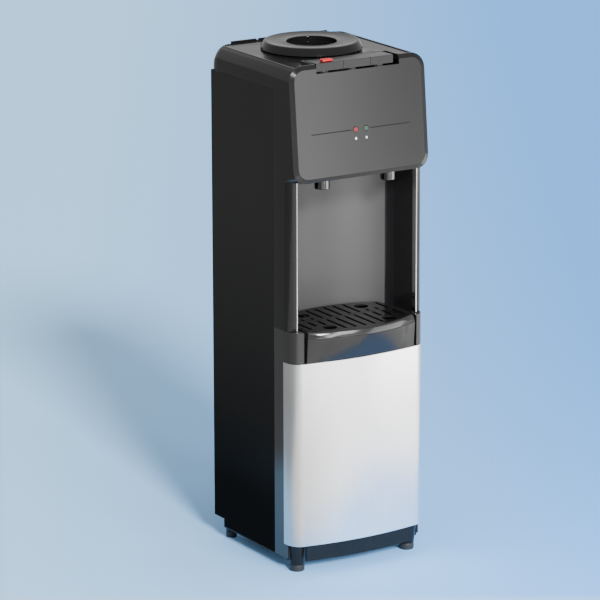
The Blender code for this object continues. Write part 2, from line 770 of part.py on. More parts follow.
def split_outline(front_half):
    """Half of the grille in plan, on one side of the line that divides it."""
    split = STEEL_APEX + GRILLE_SPLIT
    half = TRAY_HALF - GRILLE_EDGE - GAP
    if front_half:
        front = bowed(half, TRAY_APEX + GRILLE_EDGE + GAP, TRAY_FRONT_BOW)
        return [*front, (half, split - SPLIT_GAP), (-half, split - SPLIT_GAP)]
    whole = tray_outline(GRILLE_EDGE + GAP, TRAY_APEX, TRAY_FRONT_BOW)
    kept = [point for point in whole if point[1] > split + SPLIT_GAP + 0.001]
    width = min(half, bay_half(split, GRILLE_EDGE + GAP + SLIDE_GAP * 2))
    return [(-width, split + SPLIT_GAP), (width, split + SPLIT_GAP), *kept]


def front_edge(x, inset):
    """The y of the grille's bowed front edge at x."""
    half = TRAY_HALF - GRILLE_EDGE
    radius = (half**2 + TRAY_FRONT_BOW**2) / (2 * TRAY_FRONT_BOW)
    return TRAY_APEX + GRILLE_EDGE + radius - math.sqrt(radius**2 - x**2) + inset


def rear_edge(x, inset):
    """The y of the grille's curved rear edge at x."""
    radius = BAY_RADIUS - GRILLE_EDGE
    return BAY_BACK - BAY_RADIUS + math.sqrt(radius**2 - x**2) - inset


def grille_holes(front_half):
    split = STEEL_APEX + GRILLE_SPLIT
    if front_half:
        ring_y = STEEL_APEX + GLASS_RING_FRONT
    else:
        ring_y = BAY_BACK - GLASS_RING_REAR
    holes = [circle((side * GLASS_RING_OFFSET, ring_y), GLASS_RING_RADIUS, 16) for side in (-1, 1)]
    count = int((TRAY_HALF - GRILLE_EDGE - SLOT_END) / SLOT_PITCH)
    for index in range(-count, count + 1):
        x = index * SLOT_PITCH
        if front_half:
            low, high = front_edge(x, SLOT_FRONT_END), split - SLOT_END
        else:
            low, high = split + SLOT_END, rear_edge(x, SLOT_END)
        ring_x = math.copysign(GLASS_RING_OFFSET, x)
        if abs(x - ring_x) < GLASS_RING_RADIUS + SLOT_WIDTH:
            if front_half:
                low = ring_y + GLASS_RING_RADIUS + SLOT_WIDTH
            else:
                high = ring_y - GLASS_RING_RADIUS - SLOT_WIDTH
        if high - low > 2 * SLOT_WIDTH:
            holes.append(slot(x, low, high))
    return holes


def slot(x, low, high):
    half = SLOT_WIDTH / 2
    return rectangle((x - half, low), (x + half, high))


def make_grilles():
    low = TRAY_TOP - GRILLE_THICKNESS
    for front_half, word in ((True, "front"), (False, "rear")):
        prism(
            f"drip_grille_{word}",
            split_outline(front_half),
            low,
            TRAY_TOP,
            ABS_SILVER,
            holes=grille_holes(front_half),
        )


def head_section(y_of, inset, bottom, top, chin, crown):
    outline = rounded((-HALF + inset, bottom), (HALF - inset, top), chin, crown)
    return [(x, y_of(z), z) for x, z in outline]


def make_housing():
    rear_flat = REAR - HEAD_CORNER
    sections = [
        head_section(face_y, FACE_BEVEL_WIDTH, FACE_BOTTOM, FACE_TOP, FACE_CORNER, FACE_CORNER),
        head_section(
            lambda z: face_y(z) + FACE_BEVEL_DEPTH, 0.0, HEAD_BOTTOM, HEAD_TOP, HEAD_CORNER,
            CROWN_RADIUS,
        ),
        head_section(lambda z: CHIN_Y, 0.0, HEAD_BOTTOM, HEAD_TOP, CHIN_CORNER, CROWN_RADIUS),
        head_section(lambda z: rear_flat, 0.0, HEAD_BOTTOM, HEAD_TOP, CHIN_CORNER, CROWN_RADIUS),
    ]
    for angle in (30, 60, 90):
        turn = math.radians(angle)
        y = rear_flat + HEAD_CORNER * math.sin(turn) * 0.98
        drop = HEAD_CORNER * (1 - math.cos(turn)) * 0.9
        squeeze = drop * REAR_SQUEEZE
        crown = CROWN_RADIUS - squeeze / 2
        sections.append(
            head_section(lambda z, y=y: y, squeeze, HEAD_BOTTOM, HEAD_TOP - drop, 0.002, crown)
        )
    housing = loft("upper_housing", sections, ABS_DARK)
    cut(housing, head_hollow())
    under = box(
        "under_skirt",
        (-HALF - 0.02, SEAM_Y, HEAD_BOTTOM - 0.05),
        (HALF + 0.02, REAR + 0.05, SKIRT_BOTTOM),
        ABS_DARK,
    )
    lid_low = (-COVER_HALF, COVER_FRONT)
    lid_high = (COVER_HALF, COVER_REAR)
    opening = rounded(lid_low, lid_high, 0.004, 0.012)
    lid_hole = prism("lid_opening", opening, COVER_FLOOR - 0.02, HEAD_TOP + 0.02, ABS_DARK)
    pocket = fascia_solid("fascia_pocket", 0.0, -0.02, BEZEL_DEPTH + 0.004)
    notch = box(
        "key_notch",
        (-NOTCH_HALF, FACE_Y - 0.02, NOTCH_BOTTOM - 0.001),
        (NOTCH_HALF, COVER_FRONT + 0.001, HEAD_TOP + 0.02),
        ABS_DARK,
    )
    mouth = box(
        "bay_mouth",
        (-CEILING_HALF, CEILING_FRONT, HEAD_BOTTOM - 0.02),
        (CEILING_HALF, SEAM_Y + 0.02, HEAD_BOTTOM + SHELL + 0.002),
        ABS_DARK,
    )
    cut(housing, under, lid_hole, pocket, notch, mouth)
    for side in (-1, 1):
        outline = [(side * x, y) for x, y in pillar_outline()]
        low, high = COLUMN_TOP + GAP, HEAD_BOTTOM + HEAD_CORNER
        join(housing, prism(f"pillar_{side}", outline, low, high, ABS_DARK))
    rail_low = (-RAIL_HALF, REAR - RAIL_SETBACK, HEAD_TOP - RAIL_DEPTH)
    rail_high = (RAIL_HALF, REAR - RAIL_SETBACK + RAIL_WIDTH, HEAD_TOP - 0.0006)
    rail = box("rear_rail", rail_low, rail_high, ABS_DARK)
    for side in (-1, 1):
        x = side * RAIL_NOTCH_X
        low = (x - RAIL_NOTCH / 2, REAR - 0.03, HEAD_TOP - RAIL_NOTCH_DEPTH)
        high = (x + RAIL_NOTCH / 2, REAR + 0.01, HEAD_TOP + 0.01)
        cut(rail, box(f"rail_notch_{side}", low, high, ABS_DARK))
    join(housing, rail)
    return housing


def head_hollow():
    """The space inside the head, one wall in from its outside and open at the back."""
    low = HEAD_BOTTOM + SHELL
    high = HEAD_TOP - SHELL
    soft = HEAD_CORNER - SHELL
    crown = CROWN_RADIUS - SHELL
    rear_flat = REAR - HEAD_CORNER
    narrow = SHELL + HEAD_CORNER * REAR_SQUEEZE
    sections = [
        head_section(lambda z: face_y(z) + BEZEL_DEPTH, SHELL, low, high, soft, crown),
        head_section(lambda z: CHIN_Y, SHELL, low, high, CHIN_CORNER / 2, crown),
        head_section(lambda z: rear_flat, SHELL, low, high, CHIN_CORNER / 2, crown),
        head_section(
            lambda z: REAR - SHELL, narrow, low, high - HEAD_CORNER, CHIN_CORNER / 2, soft / 2
        ),
    ]
    return loft("head_hollow", sections, ABS_DARK)


def fascia_outline(gap):
    """The fascia seen from the front, before the notch for the keys is cut."""
    low = (-FACE_HALF + gap, FACE_BOTTOM + gap)
    high = (FACE_HALF - gap, FACE_TOP - gap)
    points = rounded(low, high, FACE_CORNER - gap, FACE_CORNER - gap)
    return points


def fascia_solid(name, gap, ahead, behind):
    outline = fascia_outline(gap)
    sections = [[(x, face_y(z) + offset, z) for x, z in outline] for offset in (ahead, behind)]
    return loft(name, sections, ABS_SILVER)


def make_fascia():
    fascia = fascia_solid("fascia_panel", GAP, 0.0, FASCIA_THICKNESS)
    notch = box(
        "fascia_notch",
        (-NOTCH_HALF, FACE_Y - 0.02, NOTCH_BOTTOM),
        (NOTCH_HALF, KEY_FRONT + 0.02, FACE_TOP + 0.02),
        ABS_SILVER,
    )
    cut(fascia, notch)
    for side in (-1, 1):
        centre = (side * LIGHT_SPACING / 2, face_y(LIGHT_Z), LIGHT_Z)
        hole = cylinder(f"light_hole_{side}", centre, LIGHT_RADIUS + GAP, 0.02, ABS_SILVER, "Y")
        ends = sorted((side * LINE_START, side * LINE_END))
        front = face_y(LIGHT_Z)
        low = (ends[0], front - 0.01, LIGHT_Z - LINE_WIDTH / 2)
        high = (ends[1], front + LINE_DEPTH, LIGHT_Z + LINE_WIDTH / 2)
        cut(fascia, hole, box(f"face_line_{side}", low, high, ABS_SILVER))
    return fascia


def make_lights():
    front = face_y(LIGHT_Z) - 0.0004
    back = front + 0.008
    for side, word, finish in ((-1, "heating", RED_LENS), (1, "cooling", GREEN_LENS)):
        centre = (side * LIGHT_SPACING / 2, (front + back) / 2, LIGHT_Z)
        cylinder(f"{word}_light", centre, LIGHT_RADIUS, back - front, finish, "Y")
    low = (-0.035, back + GAP, LIGHT_Z - 0.012)
    high = (0.035, back + GAP + 0.0016, LIGHT_Z + 0.012)
    box("light_board", low, high, BOARD)


def make_keys():
    front = KEY_FRONT
    inner = KEY_TOP - KEY_THICKNESS
    knuckle = arc((KEY_PIVOT_Y, KEY_PIVOT_Z), KEY_KNUCKLE, 90, -150, 8)
    outline = [
        (front, KEY_TOP - 0.0006),
        (front, KEY_TOP - KEY_FRONT_HEIGHT),
        (front + KEY_THICKNESS, KEY_TOP - KEY_FRONT_HEIGHT),
        (front + KEY_THICKNESS, inner),
        (KEY_PIVOT_Y - KEY_KNUCKLE - 0.001, inner),
        *reversed(knuckle),
        (KEY_PIVOT_Y, KEY_TOP - 0.0008),
        (front + 0.0008, KEY_TOP),
    ]
    bore = circle((KEY_PIVOT_Y, KEY_PIVOT_Z), KEY_SHAFT_RADIUS + GAP, 12)
    for index, word in enumerate(("hot", "room", "cold")):
        left = (index - 1.5) * KEY_PITCH + KEY_SPACE / 2
        right = left + KEY_PITCH - KEY_SPACE - (KEY_SIDE_GAP if word == "cold" else 0.0)
        prism(f"{word}_button", outline, left, right, ABS_SILVER, "X", holes=[bore])
    cylinder(
        "key_shaft",
        (0, KEY_PIVOT_Y, KEY_PIVOT_Z),
        KEY_SHAFT_RADIUS,
        2 * (NOTCH_HALF + 0.002),
        TANK_STEEL,
        "X",
        segments=12,
    )


def make_lock():
    x = -KEY_PITCH
    y = KEY_FRONT + 0.006
    low = (x - LOCK_WIDTH / 2, y, KEY_TOP + GAP)
    high = (x + LOCK_WIDTH / 2, y + LOCK_DEPTH, KEY_TOP + GAP + LOCK_HEIGHT)
    lock = box("child_lock", low, high, RED_ABS)
    bevel = lock.modifiers.new("soft_edges", "BEVEL")
    bevel.width = 0.0012
    bevel.segments = 2


def make_cover():
    low = (-COVER_HALF + GAP, COVER_FRONT + GAP)
    high = (COVER_HALF - GAP, COVER_REAR - GAP)
    outline = rounded(low, high, 0.004 - GAP, 0.012 - GAP)
    cover = prism("top_cover", outline, COVER_FLOOR - COVER_RIM, COVER_TOP, ABS_DARK)
    rim = COVER_RIM
    inner = rounded((low[0] + rim, low[1] + rim), (high[0] - rim, high[1] - rim), 0.003, 0.009)
    dish = prism("cover_dish", inner, COVER_FLOOR, COVER_TOP + 0.02, ABS_DARK)
    shelf_low = KEY_PIVOT_Y + KEY_KNUCKLE + 0.0012
    plinth = box(
        "key_surround",
        (-NOTCH_HALF - rim, low[1] + 0.0001, KEY_PIVOT_Z - 0.005),
        (NOTCH_HALF + rim, shelf_low + rim, HEAD_TOP - GAP),
        ABS_DARK,
    )
    notch = box(
        "cover_notch",
        (-NOTCH_HALF, low[1] - 0.02, COVER_FLOOR - 0.02),
        (NOTCH_HALF, shelf_low, COVER_TOP + 0.02),
        ABS_DARK,
    )
    throat = cylinder(
        "cover_throat",
        (0, COLLAR_Y, COVER_FLOOR),
        THROAT_RADIUS + THROAT_WALL + SLIDE_GAP,
        0.04,
        ABS_DARK,
        segments=36,
    )
    shaft_hole = cylinder(
        "shaft_hole",
        (0, KEY_PIVOT_Y, KEY_PIVOT_Z),
        KEY_SHAFT_RADIUS + GAP,
        2 * (NOTCH_HALF + 0.0025),
        ABS_DARK,
        "X",
        segments=12,
    )
    cut(cover, dish)
    join(cover, plinth)
    cut(cover, notch, throat, shaft_hole)
    return cover


def make_collar():
    floor = COVER_FLOOR + GAP
    wall = THROAT_WALL
    inner = THROAT_RADIUS
    low = COLLAR_TOP - THROAT_DEPTH
    top = COLLAR_TOP
    profile = [
        (inner, top - FUNNEL_DROP - 0.0008),
        (inner + 0.001, top - FUNNEL_DROP),
        (inner + 0.004, top - FUNNEL_DROP - 0.0006),
        (COLLAR_TOP_RADIUS - 0.016, top - FUNNEL_DROP + 0.0002),
        (COLLAR_TOP_RADIUS - 0.006, top - 0.0006),
        (COLLAR_TOP_RADIUS - 0.003, top),
        (COLLAR_TOP_RADIUS, top - 0.0004),
        (COLLAR_TOP_RADIUS + 0.0016, top - 0.0022),
        (COLLAR_RADIUS - 0.0008, top - COLLAR_SKIRT + 0.003),
        (COLLAR_RADIUS, top - COLLAR_SKIRT),
        (COLLAR_RADIUS - 0.003, floor),
        (COLLAR_RADIUS - 0.012, floor),
        (COLLAR_RADIUS - 0.012, top - 0.010),
        (inner + wall + 0.008, top - 0.010),
        (inner + wall, top - 0.014),
        (inner + wall, low),
        (inner, low),
    ]
    turned("bottle_collar", profile, (0, COLLAR_Y, 0), ABS_BLACK, steps=40)


def make_guard():
    """The cup inside the collar, with the hollow probe that opens the bottle's cap."""
    wall = GUARD_WALL
    outer = THROAT_RADIUS - GAP
    floor = COLLAR_TOP - THROAT_DEPTH
    rim = COLLAR_TOP - 0.012
    probe_top = COLLAR_TOP - 0.016
    profile = [
        (outer - wall, rim),
        (outer, rim),
        (outer, floor),
        (0.003, floor),
        (0.003, probe_top),
        (0.0045, probe_top + 0.002),
        (PROBE_RADIUS - 0.001, probe_top - 0.004),
        (PROBE_RADIUS, floor + wall),
        (outer - wall, floor + wall),
    ]
    turned("water_guard", profile, (0, COLLAR_Y, 0), ABS_BLACK, steps=28)


def make_spouts():
    plate_low = HEAD_BOTTOM
    plate_high = plate_low + FRAME_WALL
    low_corner = (-CEILING_HALF + GAP, CEILING_FRONT + GAP)
    high_corner = (CEILING_HALF - GAP, BAY_BACK + LINER_WALL + 0.002)
    places = [(side * SPOUT_OFFSET, SPOUT_Y) for side in (-1, 1)]
    holes = [circle(place, SPOUT_NECK + GAP, 20) for place in places]
    outline = rectangle(low_corner, high_corner)
    prism("bay_ceiling", outline, plate_low, plate_high, ABS_DARK, holes=holes)
    low = HEAD_BOTTOM - SPOUT_DROP
    seat = plate_low - GAP
    neck_top = SPOUT_TOP
    profile = [
        (SPOUT_BORE, neck_top),
        (SPOUT_NECK, neck_top),
        (SPOUT_NECK, seat),
        (SPOUT_RADIUS, seat),
        (SPOUT_RADIUS, low + 0.001),
        (SPOUT_RADIUS - 0.001, low),
        (SPOUT_RADIUS - 0.003, low),
        (SPOUT_RADIUS - 0.004, low + 0.003),
        (SPOUT_BORE, low + 0.003),
    ]
    for word, place in zip(("hot", "cold"), places):
        turned(f"{word}_spout", profile, (*place, 0), CHROME, steps=20)


def make_valves():
    bracket_low = BRACKET_TOP - 0.0025
    half = HALF - SHELL - GAP
    centres = [(index * KEY_PITCH, VALVE_Y) for index in (-1, 0, 1)]
    holes = [circle(centre, NOZZLE_RADIUS + GAP, 16) for centre in centres]
    outline = rectangle((-half, VALVE_Y - 0.0145), (half, VALVE_Y + 0.0145))
    prism("valve_bracket", outline, bracket_low, BRACKET_TOP, TANK_STEEL, holes=holes)
    low = BRACKET_TOP + GAP
    bore = STEM_RADIUS + GAP
    nozzle = bracket_low - NOZZLE_LENGTH
    profile = [
        (bore, VALVE_TOP),
        (VALVE_RADIUS - 0.003, VALVE_TOP),
        (VALVE_RADIUS - 0.003, VALVE_TOP - 0.006),
        (VALVE_RADIUS, VALVE_TOP - 0.006),
        (VALVE_RADIUS, low),
        (NOZZLE_RADIUS, low),
        (NOZZLE_RADIUS, nozzle),
        (bore, nozzle),
    ]
    stem_top = KEY_TOP - KEY_THICKNESS - 0.0006
    stem_low = low + 0.012
    for word, centre in zip(("hot", "room", "cold"), centres):
        turned(f"{word}_valve", profile, (*centre, 0), WHITE_ABS, steps=16)
        middle = (*centre, (stem_top + stem_low) / 2)
        height = stem_top - stem_low
        cylinder(f"{word}_valve_stem", middle, STEM_RADIUS, height, WHITE_ABS, segments=16)


def smooth_route(points, steps=3):
    """Points on a smooth curve through the given ones, with straight first and last legs."""
    inner = points[1:-1]
    ends = [points[0], *inner, points[-1]]
    route = [points[0]]
    for before, start, end, after in zip(ends, ends[1:], ends[2:], ends[3:]):
        for step in range(steps):
            t = step / steps
            place = []
            for a, b, c, d in zip(before, start, end, after):
                bend = 2 * b + (c - a) * t + (2 * a - 5 * b + 4 * c - d) * t**2
                place.append((bend + (3 * b - a - 3 * c + d) * t**3) / 2)
            route.append(tuple(place))
    return [*route, inner[-1], points[-1]]


def make_tubes():
    top = BRACKET_TOP - 0.0025 - NOZZLE_LENGTH - GAP
    low = SPOUT_TOP + GAP
    shift = TUBE_RADIUS + GAP
    runs = (
        ("hot", -KEY_PITCH, -SPOUT_OFFSET, 0.0),
        ("cold", KEY_PITCH, SPOUT_OFFSET + shift, 0.0),
        ("room", 0.0, SPOUT_OFFSET - shift, -0.004),
    )
    for word, start_x, end_x, sag in runs:
        middle = ((start_x + end_x) / 2, (VALVE_Y + SPOUT_Y) / 2, (top + low) / 2 + sag)
        points = [
            (start_x, VALVE_Y, top),
            (start_x, VALVE_Y, top - 0.008),
            middle,
            (end_x, SPOUT_Y, low + 0.016),
            (end_x, SPOUT_Y, low),
        ]
        pipe(f"{word}_tube", smooth_route(points), TUBE_RADIUS, SILICONE)


def make_cold_tank():
    wall = TANK_WALL
    low, top, radius = TANK_BOTTOM, TANK_TOP, TANK_RADIUS
    profile = [
        (0.0, low + wall),
        (radius - 0.008, low + wall),
        (radius - wall, low + 0.008 + wall),
        (radius - wall, top),
        (radius, top),
        (radius, low + 0.008),
        (radius - 0.008, low),
        (0.0, low),
    ]
    turned("cold_tank", profile, (0, COLLAR_Y, 0), TANK_STEEL, steps=28, closed=False)
    outer = FOAM_INNER + FOAM_WALL
    bottom = low - GAP - FOAM_WALL
    foam = [
        (FOAM_INNER, top - 0.004),
        (outer, top - 0.004),
        (outer, bottom),
        (0.008, bottom),
        (0.008, low - GAP),
        (FOAM_INNER, low - GAP),
    ]
    turned("tank_insulation", foam, (0, COLLAR_Y, 0), FOAM, steps=28)
    bands = (TANK_RADIUS - TANK_WALL - 0.001, 0.012)
    ring = [
        (bands[1], low + 0.055),
        (bands[0], low + 0.055),
        (bands[0], low + 0.0535),
        (bands[1], low + 0.0535),
    ]
    turned("water_baffle", ring, (0, COLLAR_Y, 0), WHITE_ABS, steps=28)


def make_coil():
    route = []
    per_turn = 16
    start = TANK_BOTTOM + 0.016
    for step in range(COIL_TURNS * per_turn + 1):
        angle = 2 * math.pi * step / per_turn
        height = start + COIL_PITCH * step / per_turn
        x = COIL_RING * math.cos(angle)
        y = COLLAR_Y + COIL_RING * math.sin(angle)
        route.append((x, y, height))
    pipe("evaporator_coil", route, COIL_RADIUS, COPPER, sides=1)


def make_hot_tank():
    wall = TANK_WALL
    low, top, radius = HOT_TANK_BOTTOM, HOT_TANK_TOP, HOT_TANK_RADIUS
    profile = [
        (0.0, low + wall),
        (radius - 0.010, low + wall),
        (radius - wall, low + 0.010),
        (radius - wall, top - 0.010),
        (radius - 0.010, top - wall),
        (0.005, top - wall),
        (0.005, top),
        (radius - 0.010, top),
        (radius, top - 0.010),
        (radius, low + 0.010),
        (radius - 0.010, low),
        (0.0, low),
    ]
    turned("hot_tank", profile, (0, HOT_TANK_Y, 0), TANK_STEEL, steps=24, closed=False)
    band_low = low + 0.035
    ring = [
        (radius + GAP, band_low + BAND_HEIGHT),
        (radius + 0.004, band_low + BAND_HEIGHT),
        (radius + 0.004, band_low),
        (radius + GAP, band_low),
    ]
    turned("heater_band", ring, (0, HOT_TANK_Y, 0), TANK_STEEL, steps=24)


def make_compressor():
    y = HOT_TANK_Y - 0.030
    plate_low = BASE_TOP + GAP
    plate_high = plate_low + 0.003
    reach = COMPRESSOR_RADIUS + 0.018
    outline = rounded((-reach, y - reach * 0.8), (reach, y + reach * 0.8), 0.012, 0.012)
    prism("compressor_plate", outline, plate_low, plate_high, ENAMEL)
    low = plate_high + GAP
    half = COMPRESSOR_HEIGHT / 2
    profile = [(0.0, low + COMPRESSOR_HEIGHT)]
    for angle in range(75, -1, -15):
        turn = math.radians(angle)
        radius = COMPRESSOR_RADIUS * math.cos(turn) ** 0.6
        profile.append((radius, low + half + 0.02 + (half - 0.02) * math.sin(turn)))
    profile.append((COMPRESSOR_RADIUS + 0.002, low + half + 0.019))
    profile.append((COMPRESSOR_RADIUS + 0.002, low + half + 0.013))
    profile.append((COMPRESSOR_RADIUS, low + half + 0.012))
    profile.append((COMPRESSOR_RADIUS - 0.002, low + 0.020))
    profile.append((COMPRESSOR_RADIUS - 0.014, low))
    profile.append((0.0, low))
    turned("compressor", profile, (0, y, 0), ENAMEL, steps=24, closed=False)


def make_rear_panel():
    half = HALF - SHEET - GAP
    low = STEEL_BOTTOM
    high = SKIRT_BOTTOM - GAP
    holes = [circle(drain_place(), 0.0105, 16), circle(gland_place(), 0.0085, 16)]
    holes.append(rectangle(*switch_window(0.0)))
    for row in range(7):
        z = STEEL_BOTTOM + 0.030 + row * 0.011
        holes.append(rectangle((-0.060, z), (0.060, z + 0.005)))
    outline = rectangle((-half, low), (half, high))
    prism("rear_panel", outline, BACK_PLATE, BACK_PLATE + SHEET, PAINTED_SHEET, "Y", holes=holes)
    for index, (x, z) in enumerate(screw_places(), start=1):
        centre = (x, BACK_PLATE + SHEET + GAP + 0.001, z)
        cylinder(f"rear_screw_{index}", centre, SCREW_RADIUS, 0.002, TANK_STEEL, "Y", segments=16)


def screw_places():
    x = HALF - SHEET - FLANGE - 0.008
    return [(side * x, STEEL_BOTTOM + 0.012) for side in (-1, 1)]


def drain_place():
    return (0.0, STEEL_BOTTOM + 0.150)


def gland_place():
    return (HALF - 0.045, STEEL_BOTTOM + 0.022)


def switch_window(grow):
    centre = SKIRT_BOTTOM - 0.060
    return ((-0.024 - grow, centre - 0.012 - grow), (0.024 + grow, centre + 0.012 + grow))


def make_rear_fittings():
    face = BACK_PLATE + SHEET
    x, z = drain_place()
    thickness = 0.010
    stub = cylinder("drain_outlet", (x, face - 0.002, z), 0.010, 0.034, WHITE_ABS, "Y", 20)
    bore = cylinder("drain_bore", (x, face - 0.002, z), 0.005, 0.060, WHITE_ABS, "Y", 16)
    cut(stub, bore)
    cap = cylinder("drain_cap", (x, face + 0.0115, z), 0.014, 0.0125, WHITE_ABS, "Y", 24)
    hollow = cylinder("cap_hollow", (x, face + 0.0065, z), 0.010 + GAP, 0.018, WHITE_ABS, "Y", 20)
    cut(cap, hollow)
    x, z = gland_place()
    gland = cylinder("cord_gland", (x, face + 0.001, z), 0.0082, 0.012, RUBBER, "Y", 20)
    head = cylinder("gland_head", (x, face + 0.0045, z), 0.012, 0.004, RUBBER, "Y", 20)
    hole = cylinder("gland_hole", (x, face, z), 0.0035, 0.040, RUBBER, "Y", 16)
    join(gland, head)
    cut(gland, hole)
    make_switches(face, thickness)


def make_switches(face, depth):
    low, high = switch_window(-GAP)
    holes = [
        rectangle((side * 0.012 - 0.0095, low[1] + 0.003), (side * 0.012 + 0.0095, high[1] - 0.003))
        for side in (-1, 1)
    ]
    bezel = prism(
        "switch_bezel", rectangle(low, high), face - depth, face + 0.001, ABS_BLACK, "Y", holes=holes
    )
    flange = prism(
        "bezel_flange",
        rectangle(*switch_window(0.003)),
        face + GAP,
        face + 0.0025,
        ABS_BLACK,
        "Y",
        holes=holes,
    )
    join(bezel, flange)
    centre_z = (low[1] + high[1]) / 2
    pivot_y = face - 0.001
    half = (high[1] - low[1]) / 2 - 0.003 - 0.0012
    for side, word, finish in ((-1, "hot", RED_ABS), (1, "cold", WHITE_ABS)):
        outline = [
            (-0.004, -half * 0.6),
            (0.0045, -half),
            (0.0030, 0.0),
            (0.0045, half),
            (-0.004, half * 0.6),
        ]
        outline = [(pivot_y + y, centre_z + z) for y, z in tilted(outline, SWITCH_TILT)]
        left = side * 0.012 - 0.0095 + GAP
        right = side * 0.012 + 0.0095 - GAP
        prism(f"{word}_switch", outline, left, right, finish, "X")


def tilted(points, degrees):
    """Points turned anticlockwise about their origin."""
    cosine, sine = math.cos(math.radians(degrees)), math.sin(math.radians(degrees))
    return [(u * cosine - v * sine, u * sine + v * cosine) for u, v in points]


def stops(low, high, count, border, bar):
    """The edges of a border, then of openings and bars in turn, then of the last border."""
    pitch = (high - low - 2 * border + bar) / count
    edges = [low]
    for index in range(count):
        start = low + border + index * pitch
        edges += [start, start + pitch - bar]
    return [*edges, high]


def lattice(name, x_edges, z_edges, front, depth, finish):
    """A flat grid in X and Z with an opening in every second cell each way."""
    across, up = len(x_edges) - 1, len(z_edges) - 1
    bm = bmesh.new()
    bmesh.ops.create_grid(bm, x_segments=across, y_segments=up, size=0.5)
    openings = []
    for face in bm.faces:
        middle = face.calc_center_median()
        column, row = int((middle.x + 0.5) * across), int((middle.y + 0.5) * up)
        if column % 2 and row % 2:
            openings.append(face)
    bmesh.ops.delete(bm, geom=openings, context="FACES")
    for vert in bm.verts:
        column, row = round((vert.co.x + 0.5) * across), round((vert.co.y + 0.5) * up)
        vert.co = (x_edges[column], 0.0, z_edges[row])
    bm.normal_update()
    bmesh.ops.solidify(bm, geom=bm.faces[:], thickness=depth)
    bmesh.ops.translate(bm, vec=(0, front - min(v.co.y for v in bm.verts), 0), verts=bm.verts)
    bmesh.ops.recalc_face_normals(bm, faces=bm.faces)
    return add_object(name, mesh_from(bm), finish, smooth=False)


def make_condenser():
    half = HALF - SHEET - FLANGE - 0.006
    low = STEEL_BOTTOM + 0.200
    high = SKIRT_BOTTOM - 0.110
    rows, columns = 7, 8
    rod = CONDENSER_ROD
    pitch_z = (high - low - rod) / rows
    front = BACK_PLATE + 0.012
    x_edges = stops(-half, half, columns, rod, rod / 2)
    z_edges = stops(low, high, rows, rod, rod)
    grid = lattice("condenser", x_edges, z_edges, front, rod, ENAMEL)
    for side in (-1, 1):
        for z in (low + pitch_z, high - pitch_z):
            inner, outer = half - rod - 0.001, half + 0.004
            lug = box(
                f"condenser_lug_{side}_{z:.3f}",
                (min(side * inner, side * outer), BACK_PLATE + SHEET + GAP, z - 0.004),
                (max(side * inner, side * outer), front + rod - 0.0007, z + 0.0035),
                ENAMEL,
            )
            join(grid, lug)


def main():
    clear_scene()
    make_base()
    make_feet()
    make_side_panels()
    make_lower_frame()
    make_steel_panel()
    make_trims()
    make_liner()
    make_tray()
    make_grilles()
    make_housing()
    make_fascia()
    make_lights()
    make_keys()
    make_lock()
    make_cover()
    make_collar()
    make_guard()
    make_spouts()
    make_valves()
    make_tubes()
    make_cold_tank()
    make_coil()
    make_hot_tank()
    make_compressor()
    make_rear_panel()
    make_rear_fittings()
    make_condenser()


main()
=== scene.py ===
"""Looks of the floor-standing water dispenser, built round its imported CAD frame."""

import logging
import math
from dataclasses import dataclass
from enum import Enum
from typing import Iterable, Sequence

import bmesh
import bpy
from mathutils import Matrix, Vector


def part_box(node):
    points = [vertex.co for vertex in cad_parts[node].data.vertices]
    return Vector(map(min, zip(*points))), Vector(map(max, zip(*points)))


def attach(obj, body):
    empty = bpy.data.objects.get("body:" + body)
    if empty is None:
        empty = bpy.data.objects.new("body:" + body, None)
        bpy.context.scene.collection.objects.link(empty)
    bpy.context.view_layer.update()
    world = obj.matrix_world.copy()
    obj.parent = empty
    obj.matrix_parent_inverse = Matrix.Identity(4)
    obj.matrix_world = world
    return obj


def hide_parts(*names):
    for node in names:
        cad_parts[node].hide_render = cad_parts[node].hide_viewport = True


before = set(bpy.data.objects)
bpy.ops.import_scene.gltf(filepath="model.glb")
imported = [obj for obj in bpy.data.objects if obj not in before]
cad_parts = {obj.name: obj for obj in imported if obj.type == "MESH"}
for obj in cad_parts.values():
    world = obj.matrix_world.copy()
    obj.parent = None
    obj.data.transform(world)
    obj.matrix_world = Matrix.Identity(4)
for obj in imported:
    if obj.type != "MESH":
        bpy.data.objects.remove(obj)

LOG = logging.getLogger("water_dispenser")
MM = 0.001
SKY_STRENGTH = 0.75
SUN_STRENGTH = 6.0
SUN_SPREAD = 11.0
CARD_POWER = 8.0
FILL_POWER = 60.0
# Features per metre of the patterns in each family of finishes.
PLASTIC_CLOUD = 7.0
STEEL_CLOUD = 5.0
PLATE_CLOUD = 40.0
PLATE_RIPPLE = 150.0
LENS_SPECKLE = 900.0
# Heights in metres of the finest marks.
PEEL_DEPTH = 0.0002
MARK_DEPTH = 0.0001
# Heights in metres between which the painted sheets' reflections rise from none to full: a
# painted shade, darker towards the floor.
REFLECTION_SHADE_FROM, REFLECTION_SHADE_TO = 0.1, 0.75
# Places on X between which the steel front takes a painted shade, darkening towards its left
# edge.
SHADE_FROM, SHADE_TO = -0.02, -0.15
# Degrees: the edges that are rounded, and the faces that count as one flat face.
EDGE_ANGLE = 38.0
FLAT_ANGLE = 0.8

Point = tuple[float, float, float]
Colour = tuple[float, float, float]


class Grain(Enum):
    """The way that the brushing of a metal runs."""

    UPRIGHT = (900.0, 900.0, 3.0)
    ACROSS = (4.0, 4.0, 1100.0)


class Slot(Enum):
    """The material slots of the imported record."""

    BLACK = "abs_black"
    DARK = "abs_dark_grey"
    SILVER = "abs_silver"
    SHEET = "painted_sheet"
    STEEL = "brushed_steel"
    CHROME = "chrome"
    TANK = "tank_steel"
    COPPER = "copper"
    FOAM = "insulation_foam"
    TUBE = "silicone_tube"
    RUBBER = "rubber"
    WHITE = "white_abs"
    RED = "red_abs"
    RED_LENS = "red_lens"
    GREEN_LENS = "green_lens"
    BOARD = "circuit_board"
    ENAMEL = "black_enamel"


